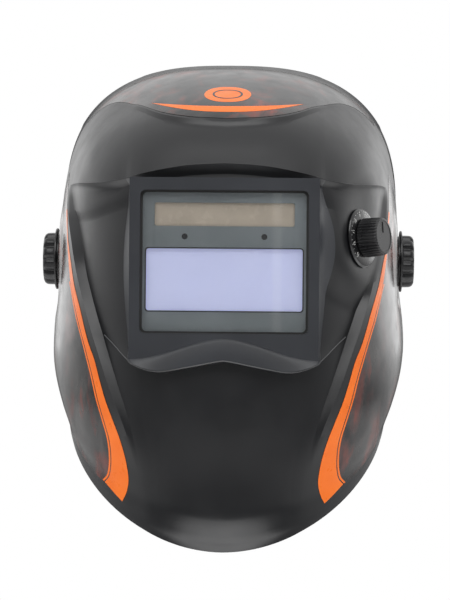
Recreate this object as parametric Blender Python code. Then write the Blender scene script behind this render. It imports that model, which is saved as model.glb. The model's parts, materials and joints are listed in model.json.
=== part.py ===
"""Auto-darkening welding helmet: flip-up shell, filter cartridge, side pivots and ratchet headgear.

Frame: +Z up, the helmet faces -Y, +X is on the right of someone looking at its front.
The origin is the middle of the pivot axis, which runs along X through both side tension knobs.
"""
import math

import bmesh
import bpy
import numpy as np
from mathutils import Vector

for old_object in list(bpy.data.objects):
    bpy.data.objects.remove(old_object, do_unlink=True)

MM = 0.001

# --- driving dimensions, mm ---------------------------------------------------------------------
SHELL_WALL = 2.6
FRAME_FRONT_Y = -131.0         # flat front of the window frame
FRAME_HALF_WIDTH = 53.5
FRAME_TOP_Z = 44.3
WINDOW_HALF_WIDTH = 47.5
WINDOW_TOP_Z = 37.2
WINDOW_BOTTOM_Z = -43.6
FRAME_WALL = 2.6               # thickness of the frame's front wall
PIVOT_SEAT_X = 103.5           # outer face of the flat seats under the tension knobs
PIVOT_HOLE_RADIUS = 4.2
CASE_HALF_WIDTH = 50.1
CASE_BOTTOM_Z = -47.0
CASE_TOP_Z = 39.5
VIEW_HALF_WIDTH = 44.3         # the filter's viewing area, nearly 90 x 35 mm
VIEW_BOTTOM_Z = -30.9
VIEW_TOP_Z = 4.3
BAND_HALF_WIDTH = 75.0         # headband centre line
BAND_FRONT_Y = -85.0
BAND_CENTRE_Y = 8.0
BAND_DROP = 0.42               # how far the headband falls for each mm that it goes back
REAR_Y = 101.0                 # centre plane of the ratchet's racks
REAR_Z = -42.0
RACK_PITCH_RADIUS = 5.0

# The shell's base surface. Each station is a curve from the centre line to the side rim:
# how far down the shell it lies (0 top rim, 1 chin rim), the centre point's y and z, the side
# rim's x, y and z, and the exponent that makes the curve full.
STATIONS = np.array((
    (0.0, 50.0, 122.2, 103.6, 42.0, 30.0, 2.68),
    (0.1, -5.0, 116.5, 104.1, 42.0, 27.0, 2.48),
    (0.2, -58.0, 100.5, 104.3, 42.0, 23.0, 2.40),
    (0.3, -100.0, 80.0, 104.4, 41.0, 17.0, 2.40),
    (0.4, -122.0, 54.0, 104.6, 40.0, 8.0, 2.44),
    (0.5, -127.0, 22.0, 104.9, 39.0, -4.0, 2.46),
    (0.6, -128.0, -14.0, 105.7, 37.0, -18.0, 2.46),
    (0.7, -128.0, -55.0, 107.8, 31.0, -38.0, 2.38),
    (0.8, -127.0, -94.0, 107.6, 21.0, -56.0, 2.24),
    (0.9, -124.0, -131.0, 103.0, 9.0, -73.0, 2.04),
    (1.0, -125.0, -167.0, 95.5, -5.0, -87.0, 1.84),
))

# Row lines that run across the shell, as how far down they lie at each distance round from the
# centre line (0) to the side rim (1).
ROUND = (0.0, 0.1, 0.2, 0.3, 0.4, 0.55, 0.7, 1.0)
ROWS = {
    "top rim": (0.0,) * 8,
    "crest": (0.313, 0.304, 0.278, 0.225, 0.165, 0.110, 0.085, 0.070),
    "crest foot": (0.333, 0.324, 0.298, 0.245, 0.185, 0.130, 0.105, 0.090),
    "brow": (0.408, 0.411, 0.416, 0.4185, 0.414, 0.387, 0.340, 0.305),
    "brow foot": (0.418, 0.421, 0.424, 0.4255, 0.423, 0.397, 0.350, 0.315),
    "frame foot": (0.431, 0.431, 0.430, 0.429, 0.431, 0.420, 0.380, 0.340),
    "frame top": (0.445, 0.445, 0.445, 0.447, 0.452, 0.450, 0.420, 0.360),
    "window top": (0.470, 0.470, 0.470, 0.470, 0.475, 0.475, 0.450, 0.385),
    "window bottom": (0.672, 0.672, 0.672, 0.668, 0.650, 0.625, 0.600, 0.570),
    "frame bottom": (0.690, 0.690, 0.692, 0.690, 0.664, 0.640, 0.615, 0.585),
    "mouth edge": (0.710, 0.721, 0.7285, 0.718, 0.692, 0.660, 0.637, 0.610),
    "mouth foot": (0.713, 0.724, 0.7315, 0.721, 0.695, 0.663, 0.640, 0.613),
    "valley": (0.947, 0.947, 0.946, 0.944, 0.942, 0.940, 0.935, 0.925),
    "chin rim": (1.0,) * 8,
}
ROW_VALUES = np.array(tuple(ROWS.values()))
ROW_STEPS = (6, 1, 4, 1, 1, 1, 1, 7, 1, 2, 1, 7, 3)

# Column lines that run down the shell: the cheek step's foot and edge, as how far round they lie.
DOWN = (0.0, 0.30, 0.38, 0.44, 0.52, 0.58, 0.64, 0.70, 0.76, 0.82, 0.90, 1.0)
CHEEK_FOOT = (0.660, 0.686, 0.684, 0.660, 0.612, 0.571, 0.501, 0.429, 0.368, 0.322, 0.304, 0.340)
CHEEK_EDGE = (0.690, 0.714, 0.708, 0.693, 0.640, 0.590, 0.519, 0.447, 0.392, 0.341, 0.321, 0.358)
COLUMN_STEPS = (4, 1, 2, 4, 1, 4, 3)

# Relief over the base surface at each row line: on the middle of the shell, at the cheek
# step's foot, and on the side panels.
RELIEF_MIDDLE = (0.0, 1.5, 0.0, 2.5, -6.0, -6.5, -4.5, -4.5, -4.5, -3.5, -0.5, -7.0, -5.0, 2.5)
RELIEF_CHEEK = (0.0, 0.0, 0.0, 0.0, -1.0, -2.0, -3.0, -4.5, -5.0, -5.2, -5.5, -5.5, -1.0, 0.8)
RELIEF_SIDE = (0.0, 0.0, 0.0, 0.0, 0.0, 0.0, 0.0, 0.0, 0.0, 0.0, 0.0, 0.0, -1.0, 0.8)

SHADE_SEAT = Vector((78.2, -84.2, 11.8))     # centre of the flat seat under the shade dial
SHADE_AXIS = Vector((0.875, -0.475, 0.09)).normalized()
SEAT_FLAT = 21.0
SEAT_BLEND = 44.0
PIVOT_FLAT = 25.0
PIVOT_BLEND = 37.0
PIVOT_BOSS_RADIUS = 22.0
PIVOT_BOSS_HEIGHT = 0.6
CHEEK_SHIFT = 2.2              # how far the inside of the cheek step is set outward
# Below the mouth the cheek step fades out, and the dish between the steps is wide and even.
STEP_FADE = (11.35, 11.80)
DISH = (0.0, 0.60, 0.70, 0.755, 1.0)
DISH_START = 0.15


def smooth(value):
    """Ease from 0 to 1 with flat ends."""
    held = np.clip(value, 0.0, 1.0)
    return held * held * (3.0 - 2.0 * held)


def through(knots, values, at):
    """A smooth curve through the values at the knots."""
    knots = np.asarray(knots, float)
    values = np.asarray(values, float)
    gaps = np.diff(knots)
    gaps_shaped = gaps.reshape((-1,) + (1,) * (values.ndim - 1))
    slopes = np.diff(values, axis=0) / gaps_shaped
    tangents = np.empty_like(values)
    tangents[1:-1] = (slopes[:-1] * gaps_shaped[1:] + slopes[1:] * gaps_shaped[:-1]) / (
        gaps_shaped[:-1] + gaps_shaped[1:])
    tangents[0] = slopes[0]
    tangents[-1] = slopes[-1]
    at = np.asarray(at, float)
    cell = np.clip(np.searchsorted(knots, at, side="right") - 1, 0, len(gaps) - 1)
    part = (at - knots[cell]) / gaps[cell]
    width = gaps[cell]
    if values.ndim > 1:
        part = part[..., None]
        width = width[..., None]
    rest = 1.0 - part
    return ((1 + 2 * part) * rest ** 2 * values[cell] + part * rest ** 2 * width * tangents[cell]
            + part ** 2 * (3 - 2 * part) * values[cell + 1]
            - part ** 2 * rest * width * tangents[cell + 1])


def base_point(around, down):
    """Point of the base surface, on the +X half."""
    row = through(STATIONS[:, 0], STATIONS[:, 1:], down)
    front_y, front_z, side_x, side_y, side_z, fullness = (row[..., k] for k in range(6))
    turn = np.clip(around, 0.0, 1.0) * math.pi / 2
    out = np.sin(turn) ** (2 / fullness)
    back = 1.0 - np.cos(turn) ** (2 / fullness)
    return np.stack((side_x * out, front_y + (side_y - front_y) * back,
                     front_z + (side_z - front_z) * back), axis=-1)


def base_normal(around, down):
    """Outward normal of the base surface."""
    step = 0.004
    a = np.clip(around, step, 1.0 - step)
    d = np.clip(down, step, 1.0 - step)
    across = base_point(a + step, d) - base_point(a - step, d)
    along = base_point(a, d + step) - base_point(a, d - step)
    normal = np.cross(along, across)
    normal[..., 0] = np.where(np.asarray(around) < step, 0.0, normal[..., 0])
    return normal / np.linalg.norm(normal, axis=-1, keepdims=True)


def column_lines(down):
    """How far round each of the eight column lines lies, at the given distance down."""
    row = through(STATIONS[:, 0], STATIONS[:, 1:], down)
    side_x = row[..., 2]
    fullness = row[..., 5]
    narrow = 1.0 - 0.30 * smooth((down - 0.70) / 0.22)
    bulge = np.sin(math.pi * np.clip((down - 0.44) / 0.26, 0.0, 1.0))
    lines = [np.zeros_like(down)]
    for x in (WINDOW_HALF_WIDTH, FRAME_HALF_WIDTH, FRAME_HALF_WIDTH + 3.5 + 4.3 * bulge):
        share = (x * narrow / side_x) ** (fullness / 2)
        lines.append(np.arcsin(share) * 2 / math.pi)
    foot = through(DOWN, CHEEK_FOOT, down)
    edge = through(DOWN, CHEEK_EDGE, down)
    lines += [foot, edge, edge + 0.55 * (1.0 - edge), np.ones_like(down)]
    return np.stack(lines, axis=-1)


def row_lines(around):
    """How far down each of the fourteen row lines lies, at the given distance round."""
    return np.stack([through(ROUND, values, around) for values in ROW_VALUES], axis=-1)


def between(lines, place):
    """Read a stack of lines at a place such as 3.5, half-way from line 3 to line 4."""
    cell = np.clip(np.floor(place).astype(int), 0, lines.shape[-1] - 2)
    part = place - cell
    low = np.take_along_axis(lines, cell[..., None], axis=-1)[..., 0]
    high = np.take_along_axis(lines, cell[..., None] + 1, axis=-1)[..., 0]
    return low + (high - low) * part


def step_share(row):
    """How much of the cheek step is left: all of it down to the mouth, none near the chin."""
    return 1.0 - smooth((row - STEP_FADE[0]) / (STEP_FADE[1] - STEP_FADE[0]))


def relief(column, row):
    """Height over the base surface."""
    keys = np.arange(len(RELIEF_MIDDLE))
    middle = np.interp(row, keys, RELIEF_MIDDLE)
    side = np.interp(row, keys, RELIEF_SIDE)
    cheek = side + (np.interp(row, keys, RELIEF_CHEEK) - side) * step_share(row)
    side = side * (1.0 - smooth(column - 6.0))
    # The brow dies away sooner towards the sides than the mouth does.
    start = np.interp(row, (6, 8), (0.6, 2.0))
    outward = smooth((column - start) / (4.0 - start))
    dished = smooth((np.interp(column, np.arange(5), DISH) - DISH_START) / (1.0 - DISH_START))
    outward = outward + (dished - outward) * np.clip(row - 10.0, 0, 1)
    front = middle * (1 - outward) + cheek * outward
    step = smooth(column - 4.0)
    return front * (1 - step) + side * step


def frame_bottom(x):
    """The wavy lower edge of the window frame, high in the middle."""
    return -46.5 - 11.9 * smooth(np.abs(x) / FRAME_HALF_WIDTH)


def flatten(points, centre, axis, level, flat, blend):
    """Press the points near a seat into its plane, fading out between the two radii."""
    centre = np.array(centre)
    axis = np.array(axis)
    height = (points - centre) @ axis
    radial = np.linalg.norm(points - centre - height[..., None] * axis, axis=-1)
    share = smooth((blend - radial) / (blend - flat)) * (np.abs(height) < 24.0)
    return points - (share * (height - level))[..., None] * axis


def shell_points(column, row, inner):
    """Shell surface at column and row places, on the +X half; inner gives the inside face."""
    around = np.full(column.shape, 0.3)
    down = np.full(column.shape, 0.5)
    for _ in range(16):
        down = between(row_lines(around), row)
        around = between(column_lines(down), column)
    depth = SHELL_WALL if inner else 0.0
    points = base_point(around, down) + (relief(column, row) - depth)[..., None] * base_normal(
        around, down)
    if inner:
        # Behind a step the inside face keeps its distance from the wall in front of it.
        lifts = (0, 0, 0, 2.4, 2.4, -2.4, 0, 0, 0, 0, 2.4, 2.4, 0, 0)
        points[..., 2] += np.interp(row, np.arange(14), lifts) * (1 - smooth(column - 3.0))
        by_step = np.interp(column, (3, 4, 5, 6), (0, 1, 1, 0)) * smooth(row - 4) * step_share(row)
        points[..., 0] += CHEEK_SHIFT * by_step
        by_frame = np.clip(1 - np.abs(column - 3.0), 0, 1) * np.clip(row - 4.5, 0, 1) * np.clip(
            9.8 - row, 0, 1)
        points[..., 0] -= 2.4 * by_frame
    # The window frame stands out of the surface with its own flat front.
    inset = 2.4 if inner else 0.0
    half = FRAME_HALF_WIDTH - inset
    side = np.interp(column, (0, 1, 2), (0, WINDOW_HALF_WIDTH, half))
    low = frame_bottom(side * FRAME_HALF_WIDTH / half) + (0.6 if inner else 0.0)
    above = np.interp(row, (6, 7, 8), (FRAME_TOP_Z - inset, WINDOW_TOP_Z, WINDOW_BOTTOM_Z))
    below = WINDOW_BOTTOM_Z + (low - WINDOW_BOTTOM_Z) * np.clip(row - 8, 0, 1)
    height = np.where(row < 8, above, below)
    front = np.full(column.shape, FRAME_FRONT_Y + (FRAME_WALL if inner else 0.0))
    framed = np.stack((side, front, height), axis=-1)
    share = np.minimum(np.clip(3 - column, 0, 1), np.clip(row - 5, 0, 1) * np.clip(10 - row, 0, 1))
    points = points + (framed - points) * share[..., None]
    level = -depth if inner else -PIVOT_BOSS_HEIGHT
    return flatten(points, (PIVOT_SEAT_X, 0, 0), (1, 0, 0), level, PIVOT_FLAT, PIVOT_BLEND)


def stops(steps):
    """Places of the grid lines: each span between key lines split into its steps."""
    places = [k + i / count for k, count in enumerate(steps) for i in range(count)]
    return np.array(places + [len(steps)], float)


# --- modelling helpers --------------------------------------------------------------------------
def material(name, colour, roughness, metallic=0.0, transmission=0.0):
    """A plain Principled material."""
    made = bpy.data.materials.new(name)
    made.use_nodes = True
    shader = made.node_tree.nodes["Principled BSDF"]
    shader.inputs["Base Color"].default_value = (*colour, 1.0)
    shader.inputs["Roughness"].default_value = roughness
    shader.inputs["Metallic"].default_value = metallic
    shader.inputs["Transmission Weight"].default_value = transmission
    made.diffuse_color = (*colour, 1.0)
    return made


BLACK = material("shell black", (0.035, 0.036, 0.038), 0.42)
BLACK_NYLON = material("black nylon", (0.020, 0.020, 0.021), 0.35)
GREY_NYLON = material("grey nylon", (0.055, 0.057, 0.060), 0.5)
CLEAR = material("clear polycarbonate", (0.95, 0.96, 0.97), 0.05, 0.0, 0.9)
CASE_GREY = material("filter case", (0.16, 0.16, 0.15), 0.5)
LAVENDER = material("filter coating", (0.49, 0.52, 0.78), 0.25)
SOLAR = material("solar cell", (0.28, 0.24, 0.19), 0.3)
BOARD = material("circuit board", (0.03, 0.12, 0.05), 0.5)
STEEL = material("zinc plated steel", (0.62, 0.62, 0.64), 0.35, 1.0)
BRASS = material("brass", (0.70, 0.50, 0.22), 0.35, 1.0)
RUBBER = material("rubber", (0.02, 0.02, 0.02), 0.8)
FOAM = material("foam and terry", (0.03, 0.03, 0.035), 0.95)


def add_object(name, vertices, faces, look, sharp_angle=math.radians(35)):
    """Make a closed object from points in millimetres, with its faces pointing out."""
    mesh = bpy.data.meshes.new(name)
    mesh.from_pydata([tuple(float(c) * MM for c in v) for v in vertices], [], faces)
    shaped = bmesh.new()
    shaped.from_mesh(mesh)
    bmesh.ops.remove_doubles(shaped, verts=shaped.verts, dist=0.00001)
    bmesh.ops.recalc_face_normals(shaped, faces=shaped.faces)
    shaped.to_mesh(mesh)
    shaped.free()
    mesh.shade_smooth()
    mesh.set_sharp_from_angle(angle=sharp_angle)
    mesh.materials.append(look)
    made = bpy.data.objects.new(name, mesh)
    bpy.context.scene.collection.objects.link(made)
    return made


def box(name, low, high, look):
    """A box between two corners."""
    corners = [(x, y, z) for x in sorted((low[0], high[0])) for y in (low[1], high[1])
               for z in (low[2], high[2])]
    faces = ((0, 1, 3, 2), (4, 6, 7, 5), (0, 4, 5, 1), (2, 3, 7, 6), (0, 2, 6, 4), (1, 5, 7, 3))
    return add_object(name, corners, faces, look)


def basis_for(axis):
    """Rotation that takes +Z to the axis."""
    return Vector(axis).normalized().to_track_quat("Z", "Y").to_matrix()


def turned(name, profile, look, centre=(0, 0, 0), axis=(0, 0, 1), sides=24, ripple=None, turn=0.0):
    """Turn (radius, height) points about an axis; ripple scales the radius at each side."""
    rotation = basis_for(axis)
    closed_ring = profile[0][0] > 0 and profile[-1][0] > 0
    vertices = []
    rings = []
    for number, (radius, height) in enumerate(profile):
        ring = []
        for side in range(sides if radius > 0 else 1):
            angle = turn + 2 * math.pi * side / sides
            scale = 1.0
            if ripple and number in ripple["points"]:
                scale = ripple["shape"][side % len(ripple["shape"])]
            local = Vector((radius * scale * math.cos(angle), radius * scale * math.sin(angle), height))
            ring.append(len(vertices))
            vertices.append(Vector(centre) + rotation @ local)
        rings.append(ring)
    faces = []
    pairs = list(zip(rings, rings[1:]))
    if closed_ring:
        pairs.append((rings[-1], rings[0]))
    for first, second in pairs:
        for side in range(sides):
            following = (side + 1) % sides
            if len(first) == 1:
                faces.append((first[0], second[side], second[following]))
            elif len(second) == 1:
                faces.append((first[side], second[0], first[following]))
            else:
                faces.append((first[side], second[side], second[following], first[following]))
    return add_object(name, vertices, faces, look)


def strip(name, centres, across, thickness, look):
    """Sweep a flat strap along its centre points; across holds its half-width vectors."""
    vertices = []
    count = len(centres)
    for k, centre in enumerate(centres):
        tangent = (Vector(centres[min(k + 1, count - 1)]) - Vector(centres[max(k - 1, 0)])).normalized()
        side = Vector(across[k])
        outward = tangent.cross(side.normalized()).normalized() * thickness / 2
        for sign_side, sign_out in ((-1, -1), (1, -1), (1, 1), (-1, 1)):
            vertices.append(Vector(centre) + side * sign_side + outward * sign_out)
    faces = [(0, 1, 2, 3), tuple(4 * (count - 1) + k for k in (3, 2, 1, 0))]
    for k in range(count - 1):
        for corner in range(4):
            following = (corner + 1) % 4
            faces.append((4 * k + corner, 4 * k + following, 4 * k + 4 + following, 4 * k + 4 + corner))
    return add_object(name, vertices, faces, look)


def cut(target, cutter):
    """Cut one object out of another and leave the cutter as a hidden guide."""
    cutter.hide_render = True
    cutter.display_type = "WIRE"
    modifier = target.modifiers.new("cut " + cutter.name, "BOOLEAN")
    modifier.operation = "DIFFERENCE"
    modifier.solver = "EXACT"
    modifier.object = cutter


def join(target, other):
    """Unite another solid with the target and leave it as a hidden guide."""
    other.hide_render = True
    other.display_type = "WIRE"
    modifier = target.modifiers.new("join " + other.name, "BOOLEAN")
    modifier.operation = "UNION"
    modifier.solver = "EXACT"
    modifier.object = other


# --- shell --------------------------------------------------------------------------------------
def build_shell():
    """Moulded shell: outer and inner grids, joined round the rim and round the window."""
    columns = stops(COLUMN_STEPS)
    rows = stops(ROW_STEPS)
    column_grid, row_grid = np.meshgrid(columns, rows, indexing="ij")
    half_count = len(columns)
    row_count = len(rows)
    window_column = int(np.searchsorted(columns, 1.0))
    window_rows = (int(np.searchsorted(rows, 7.0)), int(np.searchsorted(rows, 8.0)))
    vertices = []
    layers = []
    for inner in (False, True):
        plain = shell_points(column_grid, row_grid, inner)
        level = -SHELL_WALL if inner else 0.0
        half = flatten(plain, SHADE_SEAT, SHADE_AXIS, level, SEAT_FLAT, SEAT_BLEND)
        layer = {}
        for place in range(-(half_count - 1), half_count):
            source = plain if place < 0 else half
            for r in range(row_count):
                x, y, z = source[abs(place), r]
                layer[place, r] = len(vertices)
                vertices.append((x * (1 if place >= 0 else -1), y, z))
        layers.append(layer)
    outer, inside = layers
    faces = []
    places = list(range(-(half_count - 1), half_count - 1))
    for place in places:
        for r in range(row_count - 1):
            if -window_column <= place < window_column and window_rows[0] <= r < window_rows[1]:
                continue
            for layer in layers:
                faces.append((layer[place, r], layer[place + 1, r],
                              layer[place + 1, r + 1], layer[place, r + 1]))
    last = half_count - 1
    rim = [((-last, r), (-last, r + 1)) for r in range(row_count - 1)]
    rim += [((last, r), (last, r + 1)) for r in range(row_count - 1)]
    rim += [((place, r), (place + 1, r)) for place in places for r in (0, row_count - 1)]
    rim += [((place, r), (place + 1, r)) for place in range(-window_column, window_column)
            for r in window_rows]
    rim += [((place, r), (place, r + 1)) for place in (-window_column, window_column)
            for r in range(*window_rows)]
    for first, second in rim:
        faces.append((outer[first], outer[second], inside[second], inside[first]))
    shell = add_object("shell", vertices, faces, BLACK)
    boss = ((0, -1.6), (PIVOT_BOSS_RADIUS, -1.6), (PIVOT_BOSS_RADIUS, 0), (0, 0))
    pivot_hole = ((0, -8), (PIVOT_HOLE_RADIUS, -8), (PIVOT_HOLE_RADIUS, 8), (0, 8))
    for sign in (-1, 1):
        seat = (sign * PIVOT_SEAT_X, 0, 0)
        axis = (sign, 0, 0)
        join(shell, turned("pivot boss guide %+d" % sign, boss, BLACK, seat, axis, 48))
        cut(shell, turned("pivot hole guide %+d" % sign, pivot_hole, BLACK, seat, axis))
    dial_hole = ((0, -12), (4.3, -12), (4.3, 8), (0, 8))
    cut(shell, turned("dial hole guide", dial_hole, BLACK, SHADE_SEAT, SHADE_AXIS))


# --- window, filter cartridge and retainer -------------------------------------------------------
def slab(name, half_width, low_z, high_z, near_y, far_y, look):
    """A plate across the window, from its front face at near_y to its back at far_y."""
    return box(name, (-half_width, near_y, low_z), (half_width, far_y, high_z), look)


def opening(target, label, half_width, low_z, high_z, near_y, far_y):
    """Cut a rectangular opening or pocket, centred on X, into a plate."""
    cut(target, slab(target.name + " " + label, half_width, low_z, high_z, near_y, far_y, BLACK))


def round_hole(target, label, x, z, radius, near_y, far_y):
    """Cut a round hole along Y into a plate."""
    profile = ((0, 0), (radius, 0), (radius, far_y - near_y), (0, far_y - near_y))
    cut(target, turned(target.name + " " + label, profile, BLACK, (x, near_y, z), (0, 1, 0), 20))


def disc(name, x, z, radius, near_y, far_y, look, sides=24):
    """A round plate whose axis is along Y."""
    profile = ((0, 0), (radius, 0), (radius, far_y - near_y), (0, far_y - near_y))
    return turned(name, profile, look, (x, near_y, z), (0, 1, 0), sides)


SOLAR_HALF_WIDTH = 39.6
SOLAR_BOTTOM_Z = 17.0
SOLAR_TOP_Z = 30.2
SENSOR_X = 22.5
SENSOR_Z = 11.1
BATTERY_X = 30.0
BATTERY_Z = 24.0
CONTROL_X = 28.0
CONTROL_Z = -38.5


def build_cartridge():
    """Everything that stands behind the window, from the front to the back."""
    gasket = slab("lens_gasket", 50.3, -45.4, 41.2, -128.1, -127.4, RUBBER)
    opening(gasket, "window", 48.2, -44.1, 37.8, -130, -125)
    slab("front_cover_lens", 50.3, -45.4, 41.2, -127.1, -126.1, CLEAR)
    front = slab("filter_case_front", CASE_HALF_WIDTH, CASE_BOTTOM_Z, CASE_TOP_Z, -125.8, -120.6,
                 CASE_GREY)
    opening(front, "pocket", CASE_HALF_WIDTH - 1.5, CASE_BOTTOM_Z + 1.5, CASE_TOP_Z - 1.5, -124.3, -119)
    opening(front, "view", VIEW_HALF_WIDTH, VIEW_BOTTOM_Z, VIEW_TOP_Z, -127, -123)
    opening(front, "solar", SOLAR_HALF_WIDTH, SOLAR_BOTTOM_Z, SOLAR_TOP_Z, -127, -123)
    for sign in (-1, 1):
        round_hole(front, "sensor %+d" % sign, sign * SENSOR_X, SENSOR_Z, 2.3, -127, -123)
    slab("uv_ir_glass", 47.6, -34.0, 7.2, -124.0, -123.0, LAVENDER)
    slab("lcd_cell_outer", 47.0, -33.5, 7.0, -122.7, -121.8, LAVENDER)
    slab("lcd_cell_inner", 47.0, -33.5, 7.0, -121.5, -120.7, LAVENDER)
    slab("solar_panel", 42.0, 15.6, 33.2, -124.0, -123.1, SOLAR)
    slab("circuit_board", 47.0, 8.6, 37.4, -122.6, -121.2, BOARD)
    back = slab("filter_case_back", CASE_HALF_WIDTH, CASE_BOTTOM_Z, CASE_TOP_Z, -120.3, -116.6,
                CASE_GREY)
    opening(back, "view", VIEW_HALF_WIDTH - 0.8, VIEW_BOTTOM_Z + 0.7, VIEW_TOP_Z - 0.7, -122, -115)
    opening(back, "lens recess", 47.3, -33.3, 6.7, -117.7, -115)
    for side, sign in (("left", 1), ("right", -1)):
        disc("arc_sensor_" + side, sign * SENSOR_X, SENSOR_Z, 2.0, -125.2, -122.9, SOLAR, 16)
        round_hole(back, "battery %+d" % sign, sign * BATTERY_X, BATTERY_Z, 10.4, -122, -115)
        disc("battery_" + side, sign * BATTERY_X, BATTERY_Z, 10.0, -120.0, -117.0, STEEL)
        disc("battery_cover_" + side, sign * BATTERY_X, BATTERY_Z, 11.5, -116.3, -115.3, CASE_GREY)
        round_hole(back, "control %+d" % sign, sign * CONTROL_X, CONTROL_Z, 2.6, -122, -115)
    slab("inner_cover_lens", 47.0, -33.0, 6.4, -117.4, -116.5, CLEAR)
    retainer = slab("filter_retainer", CASE_HALF_WIDTH - 1.0, CASE_BOTTOM_Z + 0.3, CASE_TOP_Z - 0.5,
                    -116.2, -113.7, GREY_NYLON)
    opening(retainer, "opening", 45.5, -44.9, 37.0, -118, -112)
    fluted = {"points": (3, 4), "shape": (1.0, 0.93)}
    for name, sign in (("sensitivity_knob", 1), ("delay_knob", -1)):
        profile = ((0, -3.2), (2.2, -3.2), (2.2, 0), (5.6, 0), (5.3, 4.4), (0, 4.4))
        turned(name, profile, BLACK_NYLON, (sign * CONTROL_X, -116.3, CONTROL_Z), (0, 1, 0), 24, fluted)


# --- shade dial on the cheek --------------------------------------------------------------------
def build_shade_dial():
    """Dial bezel, potentiometer, its nut and shaft, and the fluted knob; heights are over the seat."""
    bezel = ((7.2, 0.3), (16.8, 0.3), (17.1, 0.9), (16.0, 2.3), (7.2, 2.3))
    turned("shade_dial_bezel", bezel, BLACK_NYLON, SHADE_SEAT, SHADE_AXIS, 36)
    nut = ((4.5, 0.3), (6.4, 0.3), (6.4, 2.5), (4.5, 2.5))
    turned("shade_pot_nut", nut, STEEL, SHADE_SEAT, SHADE_AXIS, 6)
    housing = ((0, -11.9), (8, -11.9), (8, -2.9), (3.6, -2.9), (3.6, 4.2), (2.4, 4.2), (2.4, -8),
               (0, -8))
    turned("shade_pot_housing", housing, GREY_NYLON, SHADE_SEAT, SHADE_AXIS, 24)
    shaft = ((0, -7.7), (2, -7.7), (2, 12.5), (0, 12.5))
    turned("shade_pot_shaft", shaft, STEEL, SHADE_SEAT, SHADE_AXIS, 16)
    knob = ((0, 12.8), (2.3, 12.8), (2.3, 5.2), (7.2, 5.2), (7.2, 2.8), (11.0, 2.8), (11.4, 3.4),
            (11.0, 14.5), (10.3, 15.2), (0, 15.2))
    fluted = {"points": (6, 7), "shape": (1.0, 0.95)}
    turned("shade_knob", knob, BLACK_NYLON, SHADE_SEAT, SHADE_AXIS, 48, fluted)


LEAD_ROUTE = ((66.8, -87.4, 11.0), (60.5, -94.0, 10.9), (53.0, -100.5, 10.4), (46.8, -105.5, 10.0),
              (43.4, -110.6, 9.6), (43.0, -116.2, 9.5))


def build_shade_lead():
    """Cable inside the shell, from the potentiometer to the filter cartridge."""
    knots = [k / (len(LEAD_ROUTE) - 1) for k in range(len(LEAD_ROUTE))]
    points = through(knots, LEAD_ROUTE, np.linspace(0, 1, 15))
    curve = bpy.data.curves.new("shade_lead", "CURVE")
    curve.dimensions = "3D"
    curve.bevel_depth = 1.4 * MM
    curve.bevel_resolution = 2
    curve.render_resolution_u = 0
    curve.use_fill_caps = True
    spline = curve.splines.new("POLY")
    spline.points.add(len(points) - 1)
    for point, place in zip(spline.points, points):
        point.co = (*(place * MM), 1.0)
    curve.materials.append(RUBBER)
    bpy.context.scene.collection.objects.link(bpy.data.objects.new("shade_lead", curve))


# --- side pivots --------------------------------------------------------------------------------
def square_prism(name, x_low, x_high, half, look):
    """Square bar along X, centred on the pivot axis."""
    return box(name, (min(x_low, x_high), -half, -half), (max(x_low, x_high), half, half), look)


def build_pivot(side, sign):
    """One side's stack, from the headgear outward: bracket, slide plate, washers, stud and knob."""
    axis = (sign, 0, 0)
    bracket = box("side_bracket_" + side, (sign * 80.0, -34, -13), (sign * 84.0, 34, 13), GREY_NYLON)
    join(bracket, box("front foot " + side, (sign * 74.2, -34, -13), (sign * 80.4, -27, 13), BLACK))
    join(bracket, box("rear foot " + side, (sign * 76.0, 27, -13), (sign * 80.4, 34, 13), BLACK))
    cut(bracket, box("bracket slot " + side, (sign * 78, -14.6, -4.2), (sign * 86, 14.6, 4.2), BLACK))
    plate = box("slide_plate_" + side, (sign * 84.3, -17, -12), (sign * 87.3, 17, 12), BLACK_NYLON)
    hub = ((0, 86), (9, 86), (9, 93.3), (0, 93.3))
    join(plate, turned("plate hub " + side, hub, BLACK, axis=axis))
    cut(plate, square_prism("plate hole " + side, sign * 80, sign * 96, 4.1, BLACK))
    washer = ((0, 93.6), (13, 93.6), (13, 97.0), (0, 97.0))
    stop = turned("stop_washer_" + side, washer, STEEL, axis=axis)
    join(stop, box("stop tab " + side, (sign * 94.0, -3.5, 11), (sign * 96.6, 3.5, 18), BLACK))
    cut(stop, square_prism("stop hole " + side, sign * 90, sign * 99, 4.1, BLACK))
    friction = ((4.3, 97.6), (15, 97.6), (15, 100.6), (4.3, 100.6))
    turned("friction_washer_" + side, friction, RUBBER, axis=axis, sides=28)
    shank = ((0, 77.0), (7.0, 77.0), (8.0, 77.6), (8.0, 79.6), (3.9, 79.6), (3.9, 110.8), (0, 110.8))
    stud = turned("pivot_stud_" + side, shank, STEEL, axis=axis, sides=20)
    join(stud, square_prism("stud neck " + side, sign * 79.0, sign * 97.3, 3.8, STEEL))
    insert = ((4.2, 104.2), (6.0, 104.2), (6.0, 111.2), (4.2, 111.2))
    turned("knob_insert_" + side, insert, BRASS, axis=axis, sides=20)
    knob = ((0, 111.6), (6.3, 111.6), (6.3, 103.8), (15.4, 103.8), (15.4, 104.8), (18.4, 104.8),
            (18.7, 105.1), (18.7, 106.0), (16.0, 106.3), (16.0, 111.4), (13.6, 113.3), (0, 113.3))
    lobed = {"points": (8, 9, 10), "shape": (1.0, 0.99, 0.90, 0.99)}
    turned("tension_knob_" + side, knob, BLACK_NYLON, axis=axis, sides=48, ripple=lobed)


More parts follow.
